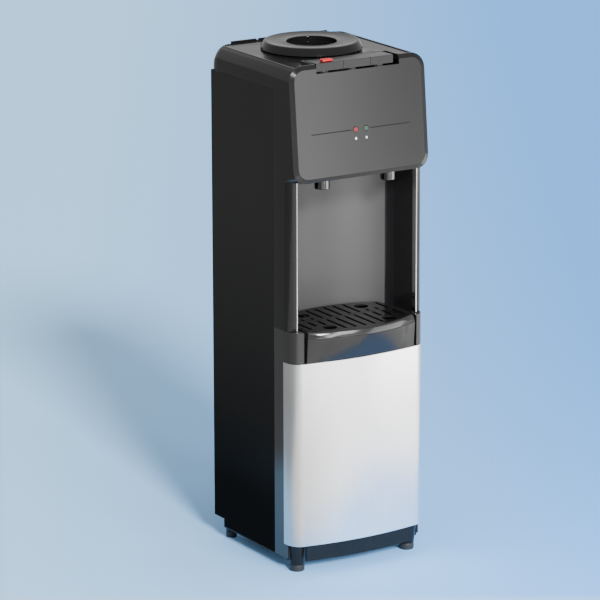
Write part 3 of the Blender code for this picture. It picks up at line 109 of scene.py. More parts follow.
class Shader:
    """One Principled material and the nodes that feed it, all on Object coordinates."""

    def __init__(self, name: str) -> None:
        """Starts the material.

        Args:
            name: the material's name.
        """
        self.material = bpy.data.materials.new(name)
        self.material.use_nodes = True
        self.tree = self.material.node_tree
        self.principled = self.tree.nodes["Principled BSDF"]
        self.coordinates = self.tree.nodes.new("ShaderNodeTexCoord").outputs["Object"]

    def fix(self, **values: float | Sequence[float]) -> None:
        """Sets constants on the shader's own sockets.

        Args:
            values: socket names, with underscores for spaces, and their values.
        """
        for name, value in values.items():
            socket = self.principled.inputs[name.replace("_", " ")]
            socket.default_value = value

    def feed(self, name: str, source: bpy.types.NodeSocket) -> None:
        """Links a source to one of the shader's sockets."""
        self.tree.links.new(source, self.principled.inputs[name])

    def noise(
        self, scale: float, detail: float = 2.0, stretch: Point = (1.0, 1.0, 1.0)
    ) -> bpy.types.NodeSocket:
        """Adds a noise pattern.

        Args:
            scale: features per metre.
            detail: octaves of finer noise.
            stretch: how much more often it changes along each axis.

        Returns:
            The pattern's value, from 0 to 1.
        """
        mapping = self.tree.nodes.new("ShaderNodeMapping")
        mapping.inputs["Scale"].default_value = stretch
        self.tree.links.new(self.coordinates, mapping.inputs["Vector"])
        pattern = self.tree.nodes.new("ShaderNodeTexNoise")
        pattern.inputs["Scale"].default_value = scale
        pattern.inputs["Detail"].default_value = detail
        self.tree.links.new(mapping.outputs["Vector"], pattern.inputs["Vector"])
        return pattern.outputs["Fac"]

    def across(self, direction: Point) -> bpy.types.NodeSocket:
        """Adds the distance in metres along any direction.

        Args:
            direction: the direction, one metre long.

        Returns:
            The distance from the origin.
        """
        node = self.tree.nodes.new("ShaderNodeVectorMath")
        node.operation = "DOT_PRODUCT"
        node.inputs[1].default_value = direction
        self.tree.links.new(self.coordinates, node.inputs[0])
        return node.outputs["Value"]

    def along(self, axis: int, start: float, end: float) -> bpy.types.NodeSocket:
        """Adds a smooth run from 0 at start to 1 at end, in metres along one axis.

        Args:
            axis: 0, 1 or 2 for X, Y or Z.
            start: where the run is 0.
            end: where the run is 1.

        Returns:
            The run's value.
        """
        split = self.tree.nodes.new("ShaderNodeSeparateXYZ")
        self.tree.links.new(self.coordinates, split.inputs[0])
        return self.spread(split.outputs[axis], start, end, 0.0, 1.0, smooth=True)

    def spread(
        self,
        source: bpy.types.NodeSocket,
        start: float,
        end: float,
        low: float,
        high: float,
        smooth: bool = False,
    ) -> bpy.types.NodeSocket:
        """Maps a value from one range to another and holds it at the ends.

        Args:
            source: the value to map.
            start: the source value that gives low.
            end: the source value that gives high.
            low: the result at start.
            high: the result at end.
            smooth: whether the run eases in and out.

        Returns:
            The mapped value.
        """
        node = self.tree.nodes.new("ShaderNodeMapRange")
        node.interpolation_type = "SMOOTHSTEP" if smooth else "LINEAR"
        for index, value in enumerate((start, end, low, high), start=1):
            node.inputs[index].default_value = value
        self.tree.links.new(source, node.inputs[0])
        return node.outputs[0]

    def blend(
        self,
        factor: bpy.types.NodeSocket,
        first: Colour | bpy.types.NodeSocket,
        second: Colour,
    ) -> bpy.types.NodeSocket:
        """Mixes two colours.

        Args:
            factor: 0 gives the first colour and 1 the second.
            first: a colour, or a socket that gives one.
            second: a colour.

        Returns:
            The mixed colour.
        """
        node = self.tree.nodes.new("ShaderNodeMix")
        node.data_type = "RGBA"
        self.tree.links.new(factor, node.inputs[0])
        if isinstance(first, tuple):
            node.inputs[6].default_value = (*first, 1.0)
        else:
            self.tree.links.new(first, node.inputs[6])
        node.inputs[7].default_value = (*second, 1.0)
        return node.outputs[2]

    def bump(self, height: bpy.types.NodeSocket, strength: float, depth: float) -> None:
        """Raises the surface by a pattern.

        Args:
            height: the pattern.
            strength: how much of it shows, from 0 to 1.
            depth: its full height in metres.
        """
        node = self.tree.nodes.new("ShaderNodeBump")
        node.inputs["Strength"].default_value = strength
        node.inputs["Distance"].default_value = depth
        self.tree.links.new(height, node.inputs["Height"])
        self.feed("Normal", node.outputs["Normal"])


@dataclass(frozen=True)
class Finish:
    """What every finish has: a name, a colour and a slot in the record."""

    name: str
    colour: Colour
    slot: Slot

    def material(self) -> bpy.types.Material:
        """Makes the finish's material on first use.

        Returns:
            The material.
        """
        found = bpy.data.materials.get(self.name)
        if found is not None:
            return found
        shader = Shader(self.name)
        self.dress(shader)
        return shader.material

    def dress(self, shader: Shader) -> None:
        """Adds the finish's nodes to a new shader."""
        raise NotImplementedError


@dataclass(frozen=True)
class Plastic(Finish):
    """Moulded plastic, from high gloss to a fine satin.

    The surface has a faint orange peel, slow changes in its gloss, and a slightly lighter second
    colour that drifts through it. Where a painted-light ramp is given, the second colour runs
    steadily along one axis instead: painted shade and highlight, lighter on one side and darker
    on the other. Where the reflections fade, they carry a painted shade that deepens towards the
    floor.
    """

    drift_and_shade: Colour = (0.0, 0.0, 0.0)
    gloss: tuple[float, float] = (0.10, 0.18)
    peel: float = 0.03
    grain: float = 420.0
    painted_light_ramp: tuple[int, float, float] | None = None
    shine: float = 0.3
    painted_low_shade: bool = False

    def dress(self, shader: Shader) -> None:
        """Adds the plastic's colour drift, its painted-light ramp where it has one, the painted
        shade of its reflections where they fade, gloss changes and orange peel.

        Args:
            shader: the new material's shader.
        """
        slow = shader.noise(PLASTIC_CLOUD, 3.0)
        # A ramp replaces the random drift with painted light: the colour runs steadily along one
        # axis.
        source = slow if self.painted_light_ramp is None else shader.along(*self.painted_light_ramp)
        shader.feed("Base Color", shader.blend(source, self.colour, self.drift_and_shade))
        shader.feed("Roughness", shader.spread(slow, 0.1, 0.9, *self.gloss))
        shader.fix(IOR=1.45, Specular_IOR_Level=self.shine)
        # Painted shade: the reflections die away towards the floor.
        if self.painted_low_shade:
            rise = shader.along(2, REFLECTION_SHADE_FROM, REFLECTION_SHADE_TO)
            shader.feed("Specular IOR Level", shader.spread(rise, 0.0, 1.0, 0.0, self.shine))
        shader.bump(shader.noise(self.grain, 2.0), self.peel, PEEL_DEPTH)


@dataclass(frozen=True)
class Brushed(Finish):
    """Metal with fine brushing in one direction."""

    grain: Grain = Grain.UPRIGHT
    streak: Colour = (0.5, 0.5, 0.5)
    gloss: tuple[float, float] = (0.2, 0.34)
    depth: float = 0.06
    painted_shade: Colour | None = None

    def dress(self, shader: Shader) -> None:
        """Adds the streaks to colour, gloss and height, and a painted shade where one is given.

        Args:
            shader: the new material's shader.
        """
        streaks = shader.noise(1.0, 4.0, self.grain.value)
        cloud = shader.noise(STEEL_CLOUD, 2.0)
        tone = shader.blend(shader.spread(streaks, 0.3, 0.7, 0.0, 1.0), self.colour, self.streak)
        if self.painted_shade is not None:
            # Painted shade: the tone darkens towards the left edge.
            painted_shade_run = shader.along(0, SHADE_FROM, SHADE_TO)
            tone = shader.blend(painted_shade_run, tone, self.painted_shade)
        shader.feed("Base Color", tone)
        shader.feed("Roughness", shader.spread(cloud, 0.3, 0.7, *self.gloss))
        shader.fix(Metallic=1.0)
        shader.bump(streaks, self.depth, MARK_DEPTH)


@dataclass(frozen=True)
class Polished(Finish):
    """Bright plated or drawn metal with faint wiping marks."""

    gloss: tuple[float, float] = (0.04, 0.10)

    def dress(self, shader: Shader) -> None:
        """Adds slow changes of gloss and a trace of waviness.

        Args:
            shader: the new material's shader.
        """
        cloud = shader.noise(PLATE_CLOUD, 3.0)
        warm = tuple(min(1.0, part * 1.05) for part in self.colour)
        shader.feed("Base Color", shader.blend(cloud, self.colour, warm))
        shader.feed("Roughness", shader.spread(cloud, 0.3, 0.7, *self.gloss))
        shader.fix(Metallic=1.0)
        shader.bump(shader.noise(PLATE_RIPPLE, 1.0), 0.02, MARK_DEPTH)


@dataclass(frozen=True)
class Lens(Finish):
    """A small clear-coloured lamp window."""

    glow: float = 0.6

    def dress(self, shader: Shader) -> None:
        """Adds a speckled tint that glows faintly.

        Args:
            shader: the new material's shader.
        """
        speckle = shader.noise(LENS_SPECKLE, 2.0)
        darker = tuple(part * 0.5 for part in self.colour)
        tone = shader.blend(speckle, self.colour, darker)
        shader.feed("Base Color", tone)
        shader.feed("Emission Color", tone)
        shader.fix(Emission_Strength=self.glow, Roughness=0.25)
        shader.bump(speckle, 0.05, MARK_DEPTH)


BLACK = Plastic(
    "gloss_black", (0.005, 0.005, 0.005), Slot.BLACK,
    drift_and_shade=(0.008, 0.008, 0.008),
    gloss=(0.07, 0.12),
    shine=0.25,
)
SHELL = Plastic(
    "shell_black", (0.006, 0.006, 0.006), Slot.DARK,
    drift_and_shade=(0.009, 0.009, 0.009),
    shine=0.28,
)
PLINTH = Plastic(
    "plinth_black", (0.012, 0.012, 0.012), Slot.DARK,
    drift_and_shade=(0.018, 0.018, 0.018),
    shine=0.55,
)
FACE = Plastic(
    "smoked_face", (0.034, 0.034, 0.034), Slot.SILVER,
    drift_and_shade=(0.018, 0.018, 0.018),
    gloss=(0.20, 0.26),
    peel=0.02,
    # Painted shade: the face darkens steadily towards the right.
    painted_light_ramp=(0, -0.13, 0.13),
)
PANEL = Plastic(
    "bay_grey", (0.040, 0.040, 0.040), Slot.SILVER,
    drift_and_shade=(0.037, 0.037, 0.037),
    gloss=(0.36, 0.44),
    peel=0.02,
    # Painted highlight: the back is faintly lighter towards the left.
    painted_light_ramp=(0, -0.11, 0.11),
)
WALL = Plastic("bay_black", (0.008, 0.008, 0.009), Slot.SILVER, drift_and_shade=(0.013, 0.013, 0.014))
KEYS = Plastic(
    "key_grey", (0.019, 0.019, 0.019), Slot.SILVER,
    drift_and_shade=(0.024, 0.024, 0.024),
    gloss=(0.2, 0.26),
)
TRAY = Plastic(
    "tray_black", (0.009, 0.009, 0.009), Slot.SILVER,
    drift_and_shade=(0.013, 0.013, 0.013),
    gloss=(0.14, 0.2),
    shine=0.4,
)
GRILLE = Plastic(
    "grille_black", (0.006, 0.006, 0.006), Slot.SILVER,
    drift_and_shade=(0.009, 0.009, 0.009),
    shine=0.15,
)
SHEET = Plastic(
    "painted_side", (0.005, 0.005, 0.005), Slot.SHEET,
    drift_and_shade=(0.007, 0.007, 0.007),
    gloss=(0.20, 0.27),
    peel=0.05,
    grain=700.0,
    shine=0.24,
    # Painted shade of the reflections, darker towards the floor.
    painted_low_shade=True,
)
STEEL = Brushed(
    "brushed_front", (0.98, 0.98, 0.98), Slot.STEEL,
    streak=(0.90, 0.90, 0.90),
    # Painted shade towards the left edge.
    painted_shade=(0.52, 0.52, 0.52),
)
TANK = Brushed(
    "satin_steel", (0.55, 0.55, 0.55), Slot.TANK,
    grain=Grain.ACROSS,
    streak=(0.48, 0.48, 0.49),
)
CHROME = Polished("bright_plate", (0.62, 0.62, 0.63), Slot.CHROME)
COPPER = Polished("drawn_copper", (0.70, 0.32, 0.18), Slot.COPPER, gloss=(0.18, 0.32))
FOAM = Plastic(
    "cut_foam", (0.62, 0.60, 0.52), Slot.FOAM,
    drift_and_shade=(0.52, 0.50, 0.42),
    gloss=(0.85, 0.95),
    peel=0.6,
    grain=900.0,
)
TUBE = Plastic(
    "clear_tube", (0.66, 0.68, 0.68), Slot.TUBE,
    drift_and_shade=(0.74, 0.75, 0.75),
    gloss=(0.35, 0.45),
)
RUBBER = Plastic(
    "foot_rubber", (0.015, 0.015, 0.015), Slot.RUBBER,
    drift_and_shade=(0.024, 0.024, 0.024),
    gloss=(0.35, 0.5),
    peel=0.1,
    grain=1200.0,
)
WHITE = Plastic(
    "white_plastic", (0.70, 0.70, 0.69), Slot.WHITE,
    drift_and_shade=(0.76, 0.76, 0.75),
    gloss=(0.30, 0.42),
)
RED = Plastic(
    "signal_red", (0.42, 0.008, 0.012), Slot.RED,
    drift_and_shade=(0.50, 0.012, 0.018),
    gloss=(0.22, 0.30),
)
RED_LENS = Lens("red_lamp", (0.16, 0.008, 0.008), Slot.RED_LENS, glow=0.2)
GREEN_LENS = Lens("green_lamp", (0.012, 0.05, 0.03), Slot.GREEN_LENS, glow=0.05)
SPOUT = Polished("dark_plate", (0.09, 0.09, 0.09), Slot.CHROME)
BOARD = Plastic(
    "solder_mask", (0.02, 0.15, 0.06), Slot.BOARD,
    drift_and_shade=(0.03, 0.20, 0.08),
    gloss=(0.4, 0.5),
    peel=0.1,
)
ENAMEL = Plastic(
    "stove_enamel", (0.012, 0.012, 0.013), Slot.ENAMEL,
    drift_and_shade=(0.020, 0.020, 0.021),
    gloss=(0.32, 0.45),
    peel=0.15,
)


@dataclass
class Piece:
    """One finished piece: its mesh, its finish, and the body that carries it."""

    name: str
    body: str
    finish: Finish
    stands_for: tuple[str, ...] = ()

    def place(self, shape: bmesh.types.BMesh, crease: float = 35.0) -> bpy.types.Object:
        """Turns a bmesh into the piece's object and frees it.

        Args:
            shape: the piece in the frame's metres.
            crease: edges sharper than this many degrees stay sharp.

        Returns:
            The new object, riding on its body.
        """
        mesh = bpy.data.meshes.new(self.name)
        shape.to_mesh(mesh)
        shape.free()
        mesh.shade_smooth()
        mesh.set_sharp_from_angle(angle=math.radians(crease))
        obj = bpy.data.objects.new(self.name, mesh)
        bpy.context.scene.collection.objects.link(obj)
        mesh.materials.append(self.finish.material())
        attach(obj, self.body)
        if self.stands_for:
            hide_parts(*self.stands_for)
        LOG.info("piece %s: %d faces", self.name, len(mesh.polygons))
        return obj

    def soften(self, obj: bpy.types.Object, width: float, segments: int = 3) -> None:
        """Rounds the piece's sharp edges.

        Args:
            obj: the piece's object.
            width: the rounding's width in metres.
            segments: faces across the rounding.
        """
        bevel = obj.modifiers.new("rounded_edges", "BEVEL")
        bevel.width = width
        bevel.segments = segments
        bevel.limit_method = "ANGLE"
        bevel.angle_limit = math.radians(EDGE_ANGLE)
        bevel.harden_normals = True


class Shapes:
    """Bmesh shapes that several sub-assemblies share."""

    @staticmethod
    def from_node(node: str) -> bmesh.types.BMesh:
        """Copies a CAD node's mesh and merges its loose triangles into clean faces.

        Args:
            node: the CAD node's name.

        Returns:
            The merged shape.
        """
        shape = bmesh.new()
        shape.from_mesh(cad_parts[node].data)
        bmesh.ops.remove_doubles(shape, verts=shape.verts, dist=5e-6)
        bmesh.ops.dissolve_limit(
            shape, angle_limit=math.radians(FLAT_ANGLE), verts=shape.verts, edges=shape.edges
        )
        return shape

    @staticmethod
    def turned(
        profile: Iterable[tuple[float, float]], centre: Point, steps: int = 96
    ) -> bmesh.types.BMesh:
        """Spins a closed profile about an upright axis.

        Args:
            profile: radius and height pairs, in metres, round the closed profile.
            centre: a point on the axis, from whose height the profile's heights count.
            steps: how many faces go round.

        Returns:
            The turned shape.
        """
        shape = bmesh.new()
        points = [shape.verts.new((radius, 0.0, height)) for radius, height in profile]
        edges = [shape.edges.new(pair) for pair in zip(points, points[1:] + points[:1])]
        bmesh.ops.spin(
            shape, geom=[*points, *edges], cent=(0, 0, 0), axis=(0, 0, 1),
            angle=2 * math.pi, steps=steps, use_merge=True,
        )
        bmesh.ops.remove_doubles(shape, verts=shape.verts, dist=1e-5)
        bmesh.ops.recalc_face_normals(shape, faces=shape.faces)
        bmesh.ops.translate(shape, vec=centre, verts=shape.verts)
        return shape


@dataclass
class Refined:
    """CAD nodes whose shape is right, given rounded edges and their finish."""

    body: str
    finish: Finish
    nodes: tuple[str, ...]
    rounding: float = 0.3 * MM
    segments: int = 2
    crease: float = 32.0

    def build(self) -> list[bpy.types.Object]:
        """Builds one piece for each node.

        Returns:
            The new objects.
        """
        made = []
        for node in self.nodes:
            piece = Piece(f"{node}_finished", self.body, self.finish, (node,))
            obj = piece.place(Shapes.from_node(node), self.crease)
            if self.rounding:
                piece.soften(obj, self.rounding, self.segments)
            made.append(obj)
        return made


@dataclass
class Head:
    """The black head, its grey face with the lamps, and the top cover."""

    ring_radius: float = 5.6 * MM
    ring_wall: float = 1.3 * MM
    ring_rise: float = 0.5 * MM
    ring_root: float = -0.2 * MM
    lamp_rise: float = 0.4 * MM
    icon_drop: float = 16.0 * MM
    icon_size: float = 2.3 * MM
    icon_rise: float = 0.15 * MM
    drop_radius: float = 0.8
    drop_taper: float = 0.75
    drop_stretch: float = 1.7
    arm_width: float = 0.3
    arm_step: float = 0.01 * MM
    face_lean: float = 5.23
    line_start: float = 19.0 * MM
    line_end: float = 101.5 * MM
    line_width: float = 1.4 * MM
    line_depth: float = 0.8 * MM

    def build(self) -> list[bpy.types.Object]:
        """Builds the shell, the face, the lamps and the icons.

        Returns:
            The new objects.
        """
        made = Refined("cabinet", SHELL, ("upper_housing", "top_cover", "bay_ceiling")).build()
        made += Refined("cabinet", FACE, ("fascia_panel",), 0.0, crease=20.0).build()
        made += Refined("cabinet", RED_LENS, ("heating_light",)).build()
        made += Refined("cabinet", GREEN_LENS, ("cooling_light",)).build()
        made += Refined("cabinet", BOARD, ("light_board",)).build()
        for node in ("heating_light", "cooling_light"):
            made.append(self.lamp_ring(node))
        # Black strips in the grooves beside the lamps, as painted shade.
        made.append(self.groove_shade("left", -1))
        made.append(self.groove_shade("right", 1))
        made.append(self.heat_icon())
        made.append(self.cold_icon())
        return made

    def face_place(self, node: str, drop: float = 0.0) -> Vector:
        """Finds a point on the leaning face.

        Args:
            node: the lamp that the point is in line with.
            drop: how far below the lamp's middle it lies.

        Returns:
            The point on the face's surface.
        """
        low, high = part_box(node)
        lean = math.tan(math.radians(self.face_lean))
        front = low[1] + self.lamp_rise - drop * lean
        return Vector(((low[0] + high[0]) / 2, front, (low[2] + high[2]) / 2 - drop))

    def onto_face(self, shape: bmesh.types.BMesh, place: Vector) -> None:
        """Turns a shape that lies flat on +Z to face forwards, and puts it on the face."""
        turn = Matrix.Rotation(math.radians(90 - self.face_lean), 4, "X")
        bmesh.ops.transform(shape, matrix=Matrix.Translation(place) @ turn, verts=shape.verts)

    def lamp_ring(self, node: str) -> bpy.types.Object:
        """Builds the fine ring round a lamp."""
        outer, inner = self.ring_radius, self.ring_radius - self.ring_wall
        rise, root = self.ring_rise, self.ring_root
        middle, shoulder = (outer + inner) / 2, rise * 0.5
        profile = [
            (inner, root), (outer, root), (outer, shoulder), (middle, rise), (inner, shoulder)
        ]
        shape = Shapes.turned(profile, (0.0, 0.0, 0.0), 48)
        self.onto_face(shape, self.face_place(node))
        return Piece(f"{node}_ring", "cabinet", BLACK).place(shape)

    def groove_shade(self, word: str, side: int) -> bpy.types.Object:
        """Builds the black strip laid in the groove beside the lamps, a painted shade of the
        groove.

        Args:
            word: left or right, for the name.
            side: -1 for the left and 1 for the right.

        Returns:
            The new object.
        """
        length = self.line_end - self.line_start
        size = Matrix.Diagonal((length, self.line_width, self.line_depth, 1.0))
        shape = bmesh.new()
        bmesh.ops.create_cube(shape, size=1.0, matrix=size)
        place = self.face_place("heating_light")
        place.x = side * (self.line_start + self.line_end) / 2
        self.onto_face(shape, place)
        return Piece(f"groove_shade_{word}", "cabinet", BLACK).place(shape)

    def heat_icon(self) -> bpy.types.Object:
        """Builds the drop-shaped icon under the heating lamp."""
        shape = bmesh.new()
        radius = self.icon_size * self.drop_radius
        bmesh.ops.create_circle(shape, cap_ends=True, segments=24, radius=radius)
        for point in shape.verts:
            if point.co.y > 0:
                point.co.x *= 1.0 - self.drop_taper * (point.co.y / self.icon_size)
                point.co.y *= self.drop_stretch
        self.thicken(shape)
        self.onto_face(shape, self.face_place("heating_light", self.icon_drop))
        return Piece("heat_icon", "cabinet", WHITE).place(shape)

    def cold_icon(self) -> bpy.types.Object:
        """Builds the six-armed icon under the cooling lamp."""
        shape = bmesh.new()
        for index in range(3):
            turn = Matrix.Rotation(math.radians(60 * index), 4, "Z")
            width = self.icon_size * self.arm_width
            thin = Matrix.Diagonal((self.icon_size * 2, width, 1.0, 1.0))
            rise = Matrix.Translation((0.0, 0.0, index * self.arm_step))
            bmesh.ops.create_grid(
                shape, x_segments=1, y_segments=1, size=0.5, matrix=rise @ turn @ thin
            )
        self.thicken(shape)
        self.onto_face(shape, self.face_place("cooling_light", self.icon_drop))
        return Piece("cold_icon", "cabinet", WHITE).place(shape)

    def thicken(self, shape: bmesh.types.BMesh) -> None:
        """Gives a flat icon its rise above the face.

        Args:
            shape: the icon.
        """
        grown = bmesh.ops.extrude_face_region(shape, geom=shape.faces[:])
        moved = [item for item in grown["geom"] if isinstance(item, bmesh.types.BMVert)]
        bmesh.ops.translate(shape, vec=(0.0, 0.0, self.icon_rise), verts=moved)
        bmesh.ops.recalc_face_normals(shape, faces=shape.faces)


@dataclass
class KeyRow:
    """The three keys, their shaft, the child lock and the valves that they press."""

    def build(self) -> list[bpy.types.Object]:
        """Builds the keys and what they move.

        Returns:
            The new objects.
        """
        made = Refined("cabinet", TANK, ("key_shaft", "valve_bracket")).build()
        made += Refined("lock", RED, ("child_lock",), 0.4 * MM).build()
        for word in ("hot", "room", "cold"):
            made += Refined(f"{word}_key", KEYS, (f"{word}_button",), 0.5 * MM, 3).build()
            made += Refined(f"{word}_stem", WHITE, (f"{word}_valve_stem",)).build()
            made += Refined("cabinet", WHITE, (f"{word}_valve",)).build()
            made += Refined("cabinet", TUBE, (f"{word}_tube",), 0.0).build()
        return made


@dataclass
class Bay:
    """The dispensing bay: a grey curved back between black sides, trims and spouts."""

    corner_inset: float = 0.6 * MM
    side_band: float = 4.2 * MM

    def build(self) -> list[bpy.types.Object]:
        """Builds the lining, the trims and the spouts.

        Returns:
            The new objects.
        """
        trims = ("chrome_trim_left", "chrome_trim_right")
        made = Refined("cabinet", CHROME, trims).build()
        made += Refined("cabinet", SPOUT, ("hot_spout", "cold_spout")).build()
        made.append(self.lining("bay_back", PANEL, True))
        made.append(self.lining("bay_sides", WALL, False))
        return made

    def corner_depth(self) -> float:
        """Finds where the straight sides of the lining meet its curved back.

        Returns:
            The place on Y, in metres.
        """
        widest = max(abs(point.co.x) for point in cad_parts["bay_liner"].data.vertices)
        inner = [
            point.co.y
            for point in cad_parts["bay_liner"].data.vertices
            if abs(point.co.x) > widest - self.side_band
        ]
        return max(inner)

    def lining(self, name: str, finish: Finish, back: bool) -> bpy.types.Object:
        """Builds the back or the sides of the lining, split at the corners.

        Args:
            name: the piece's name.
            finish: its finish.
            back: True for the curved back, False for the two sides.

        Returns:
            The new object.
        """
        shape = Shapes.from_node("bay_liner")
        bmesh.ops.bisect_plane(
            shape, geom=[*shape.verts, *shape.edges, *shape.faces], dist=1e-6,
            plane_co=(0.0, self.corner_depth() + self.corner_inset, 0.0),
            plane_no=(0.0, 1.0, 0.0), clear_inner=back, clear_outer=not back,
        )
        rim = [edge for edge in shape.edges if edge.is_boundary]
        bmesh.ops.holes_fill(shape, edges=rim, sides=0)
        bmesh.ops.recalc_face_normals(shape, faces=shape.faces)
        return Piece(name, "cabinet", finish, ("bay_liner",)).place(shape)


@dataclass
class DripTray:
    """The pull-out tray and the two halves of its grille."""

    lip_rounding: float = 0.35 * MM
    slot_rounding: float = 0.5 * MM

    def build(self) -> list[bpy.types.Object]:
        """Builds the tray and the grille.

        Returns:
            The new objects.
        """
        made = Refined("tray", TRAY, ("drip_tray",), self.lip_rounding).build()
        for half in ("front", "rear"):
            node = f"drip_grille_{half}"
            made += Refined(f"grille_{half}", GRILLE, (node,), self.slot_rounding).build()
        return made


@dataclass
class Cabinet:
    """The steel front, the painted sides, the plinth and the feet."""

    def build(self) -> list[bpy.types.Object]:
        """Builds the outside of the cabinet.

        Returns:
            The new objects.
        """
        corners = ("front_left", "front_right", "rear_left", "rear_right")
        feet = tuple(f"foot_{corner}" for corner in corners)
        made = Refined("cabinet", STEEL, ("steel_front_panel",)).build()
        made += Refined("cabinet", SHEET, ("side_panel_left", "side_panel_right")).build()
        made += Refined("cabinet", PLINTH, ("lower_frame",), 0.5 * MM).build()
        made += Refined("cabinet", BLACK, ("base_plate",), 0.5 * MM).build()
        made += Refined("cabinet", RUBBER, feet, 0.6 * MM, 3).build()
        return made


@dataclass
class BottleCollar:
    """The lift-off ring that seats the bottle, with the cup and probe inside it."""

    def build(self) -> list[bpy.types.Object]:
        """Builds the ring and the cup.

        Returns:
            The new objects.
        """
        made = Refined("collar", BLACK, ("bottle_collar",), 0.4 * MM, 2, 18.0).build()
        made += Refined("collar", BLACK, ("water_guard",)).build()
        return made


@dataclass
class Back:
    """The rear panel with its condenser, switches, drain and cord gland."""

    def build(self) -> list[bpy.types.Object]:
        """Builds what the back shows.

        Returns:
            The new objects.
        """
        made = Refined("cabinet", SHEET, ("rear_panel",)).build()
        made += Refined("cabinet", TANK, ("rear_screw_1", "rear_screw_2")).build()
        made += Refined("cabinet", ENAMEL, ("condenser",)).build()
        made += Refined("cabinet", BLACK, ("switch_bezel",)).build()
        made += Refined("heater_rocker", RED, ("hot_switch",)).build()
        made += Refined("cooler_rocker", WHITE, ("cold_switch",)).build()
        made += Refined("cabinet", WHITE, ("drain_outlet",)).build()
        made += Refined("cap", WHITE, ("drain_cap",), 0.6 * MM, 3).build()
        made += Refined("cabinet", RUBBER, ("cord_gland",)).build()
        return made


@dataclass
class Works:
    """The tanks, the coil and the compressor inside the cabinet."""

    def build(self) -> list[bpy.types.Object]:
        """Builds the inner pieces.

        Returns:
            The new objects.
        """
        made = Refined("cabinet", TANK, ("cold_tank", "hot_tank", "heater_band")).build()
        made += Refined("cabinet", COPPER, ("evaporator_coil",), 0.0).build()
        made += Refined("cabinet", FOAM, ("tank_insulation",)).build()
        made += Refined("cabinet", WHITE, ("water_baffle",)).build()
        made += Refined("cabinet", ENAMEL, ("compressor", "compressor_plate")).build()
        return made


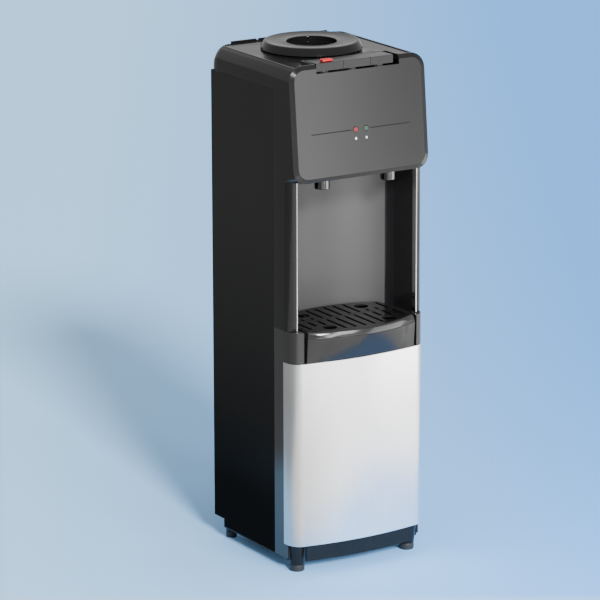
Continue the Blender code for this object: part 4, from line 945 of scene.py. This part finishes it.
@dataclass
class Studio:
    """The floor, the lights and the camera.

    The floor isn't one colour. It is pale blue where the camera looks. Beyond the camera's view
    it is light grey in front and to the right, and dark grey to the left, a painted shade.
    Glossy faces reflect those outer parts, and any other camera sees them as patches.
    """

    lens: float = 235.95
    sensor: float = 36.0
    eye: Point = (-3.6014, -5.7867, 2.2676)
    azimuth: float = 31.535
    elevation: float = -14.843
    roll: float = -0.175
    sideways: Point = (0.8523, -0.5230, 0.0)
    backwards: Point = (0.5230, 0.8523, 0.0)
    right_edge: Point = (0.8124, -0.5880, 0.0)
    left_edge: Point = (-0.8922, 0.4580, 0.0)
    frame_half: float = 0.58
    floor_half: float = 40.0
    blue_left: Colour = (0.38, 0.68, 1.0)
    blue_right: Colour = (0.13, 0.42, 1.0)
    blue_reach: float = 0.6
    light_grey: Colour = (0.80, 0.80, 0.80)
    painted_shade_grey: Colour = (0.24, 0.24, 0.24)
    edge_fade: float = 0.12
    front_from: float = -0.28
    front_to: float = -0.42
    sun_from: Point = (-0.66, -2.9, 1.6)
    card_place: Point = (1.0, -0.8, 0.3)
    card_target: Point = (0.0, -0.1, 0.3)
    card_size: tuple[float, float] = (0.9, 0.5)
    fill_place: Point = (0.2, -2.2, 0.7)
    fill_target: Point = (0.0, 0.0, 0.5)
    fill_size: tuple[float, float] = (0.9, 0.9)

    def build(self) -> None:
        """Adds the floor, the lights, the sky and the camera."""
        self.floor()
        self.sky()
        self.lights()
        self.camera()

    def floor(self) -> None:
        """Adds a wide floor: pale blue in the camera's view, and greys beyond it."""
        shape = bmesh.new()
        bmesh.ops.create_grid(shape, x_segments=2, y_segments=2, size=self.floor_half)
        mesh = bpy.data.meshes.new("pale_floor")
        shape.to_mesh(mesh)
        shape.free()
        obj = bpy.data.objects.new("pale_floor", mesh)
        bpy.context.scene.collection.objects.link(obj)
        shader = Shader("pale_floor")
        across = shader.across(self.sideways)
        run = shader.spread(across, -self.blue_reach, self.blue_reach, 0.0, 1.0)
        pale = shader.blend(run, self.blue_left, self.blue_right)
        edge, faded = self.frame_half, self.frame_half + self.edge_fade
        beside = shader.spread(shader.across(self.right_edge), edge, faded, 0.0, 1.0)
        depth = shader.across(self.backwards)
        front = shader.spread(depth, self.front_from, self.front_to, 0.0, 1.0)
        left = shader.spread(shader.across(self.left_edge), edge, faded, 0.0, 1.0)
        tone = shader.blend(beside, pale, self.light_grey)
        tone = shader.blend(front, tone, self.light_grey)
        # Painted shade: dark grey to the left, for the glossy sides to reflect.
        tone = shader.blend(left, tone, self.painted_shade_grey)
        shader.feed("Base Color", tone)
        shader.fix(Roughness=0.9, Specular_IOR_Level=0.1)
        mesh.materials.append(shader.material)

    def sky(self) -> None:
        """Adds an even, pale sky."""
        world = bpy.data.worlds.new("pale_sky")
        world.use_nodes = True
        background = world.node_tree.nodes["Background"]
        background.inputs["Color"].default_value = (1.0, 1.0, 1.0, 1.0)
        background.inputs["Strength"].default_value = SKY_STRENGTH
        bpy.context.scene.world = world

    def lights(self) -> None:
        """Adds the key light and the two softboxes."""
        self.sun("key_light", self.sun_from, SUN_STRENGTH, SUN_SPREAD)
        self.softbox(
            "right_card", self.card_place, self.card_target, self.card_size, CARD_POWER
        )
        self.softbox(
            "front_fill", self.fill_place, self.fill_target, self.fill_size, FILL_POWER
        )

    def sun(self, name: str, place: Point, strength: float, spread: float) -> None:
        """Adds a soft light from one direction.

        Args:
            name: its name.
            place: a point that it shines from towards the middle.
            strength: its strength in watts per square metre.
            spread: its width in degrees, which softens the shadow.
        """
        lamp = bpy.data.lights.new(name, "SUN")
        lamp.energy = strength
        lamp.angle = math.radians(spread)
        obj = bpy.data.objects.new(name, lamp)
        bpy.context.scene.collection.objects.link(obj)
        obj.rotation_euler = Vector(place).to_track_quat("Z", "Y").to_euler()

    def softbox(
        self, name: str, place: Point, target: Point, size: tuple[float, float], power: float
    ) -> None:
        """Adds one rectangular soft light.

        Args:
            name: its name.
            place: its middle.
            target: the point that it faces.
            size: its width and height.
            power: its power in watts.
        """
        lamp = bpy.data.lights.new(name, "AREA")
        lamp.shape = "RECTANGLE"
        lamp.size, lamp.size_y = size
        lamp.energy = power
        obj = bpy.data.objects.new(name, lamp)
        bpy.context.scene.collection.objects.link(obj)
        obj.location = place
        direction = Vector(target) - Vector(place)
        obj.rotation_euler = direction.to_track_quat("-Z", "Y").to_euler()

    def camera(self) -> None:
        """Adds the camera."""
        data = bpy.data.cameras.new("camera")
        data.lens = self.lens
        data.sensor_width = self.sensor
        data.clip_end = 100.0
        obj = bpy.data.objects.new("camera", data)
        bpy.context.scene.collection.objects.link(obj)
        turn = Matrix.Rotation(math.radians(-self.azimuth), 4, "Z")
        tilt = Matrix.Rotation(math.radians(90 + self.elevation), 4, "X")
        roll = Matrix.Rotation(math.radians(self.roll), 4, "Z")
        obj.matrix_world = Matrix.Translation(self.eye) @ turn @ tilt @ roll
        bpy.context.scene.camera = obj


def keep_sizes() -> None:
    """Updates the view layer.
    """
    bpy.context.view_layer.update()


def main() -> None:
    """Builds every sub-assembly in order."""
    logging.basicConfig(level=logging.INFO, format="%(message)s")
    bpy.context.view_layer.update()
    parts = (Cabinet(), Head(), KeyRow(), Bay(), DripTray(), BottleCollar(), Back(), Works())
    for part in parts:
        made = part.build()
        LOG.info("%s: %d pieces", type(part).__name__, len(made))
    Studio().build()
    keep_sizes()


if __name__ == "__main__":
    main()
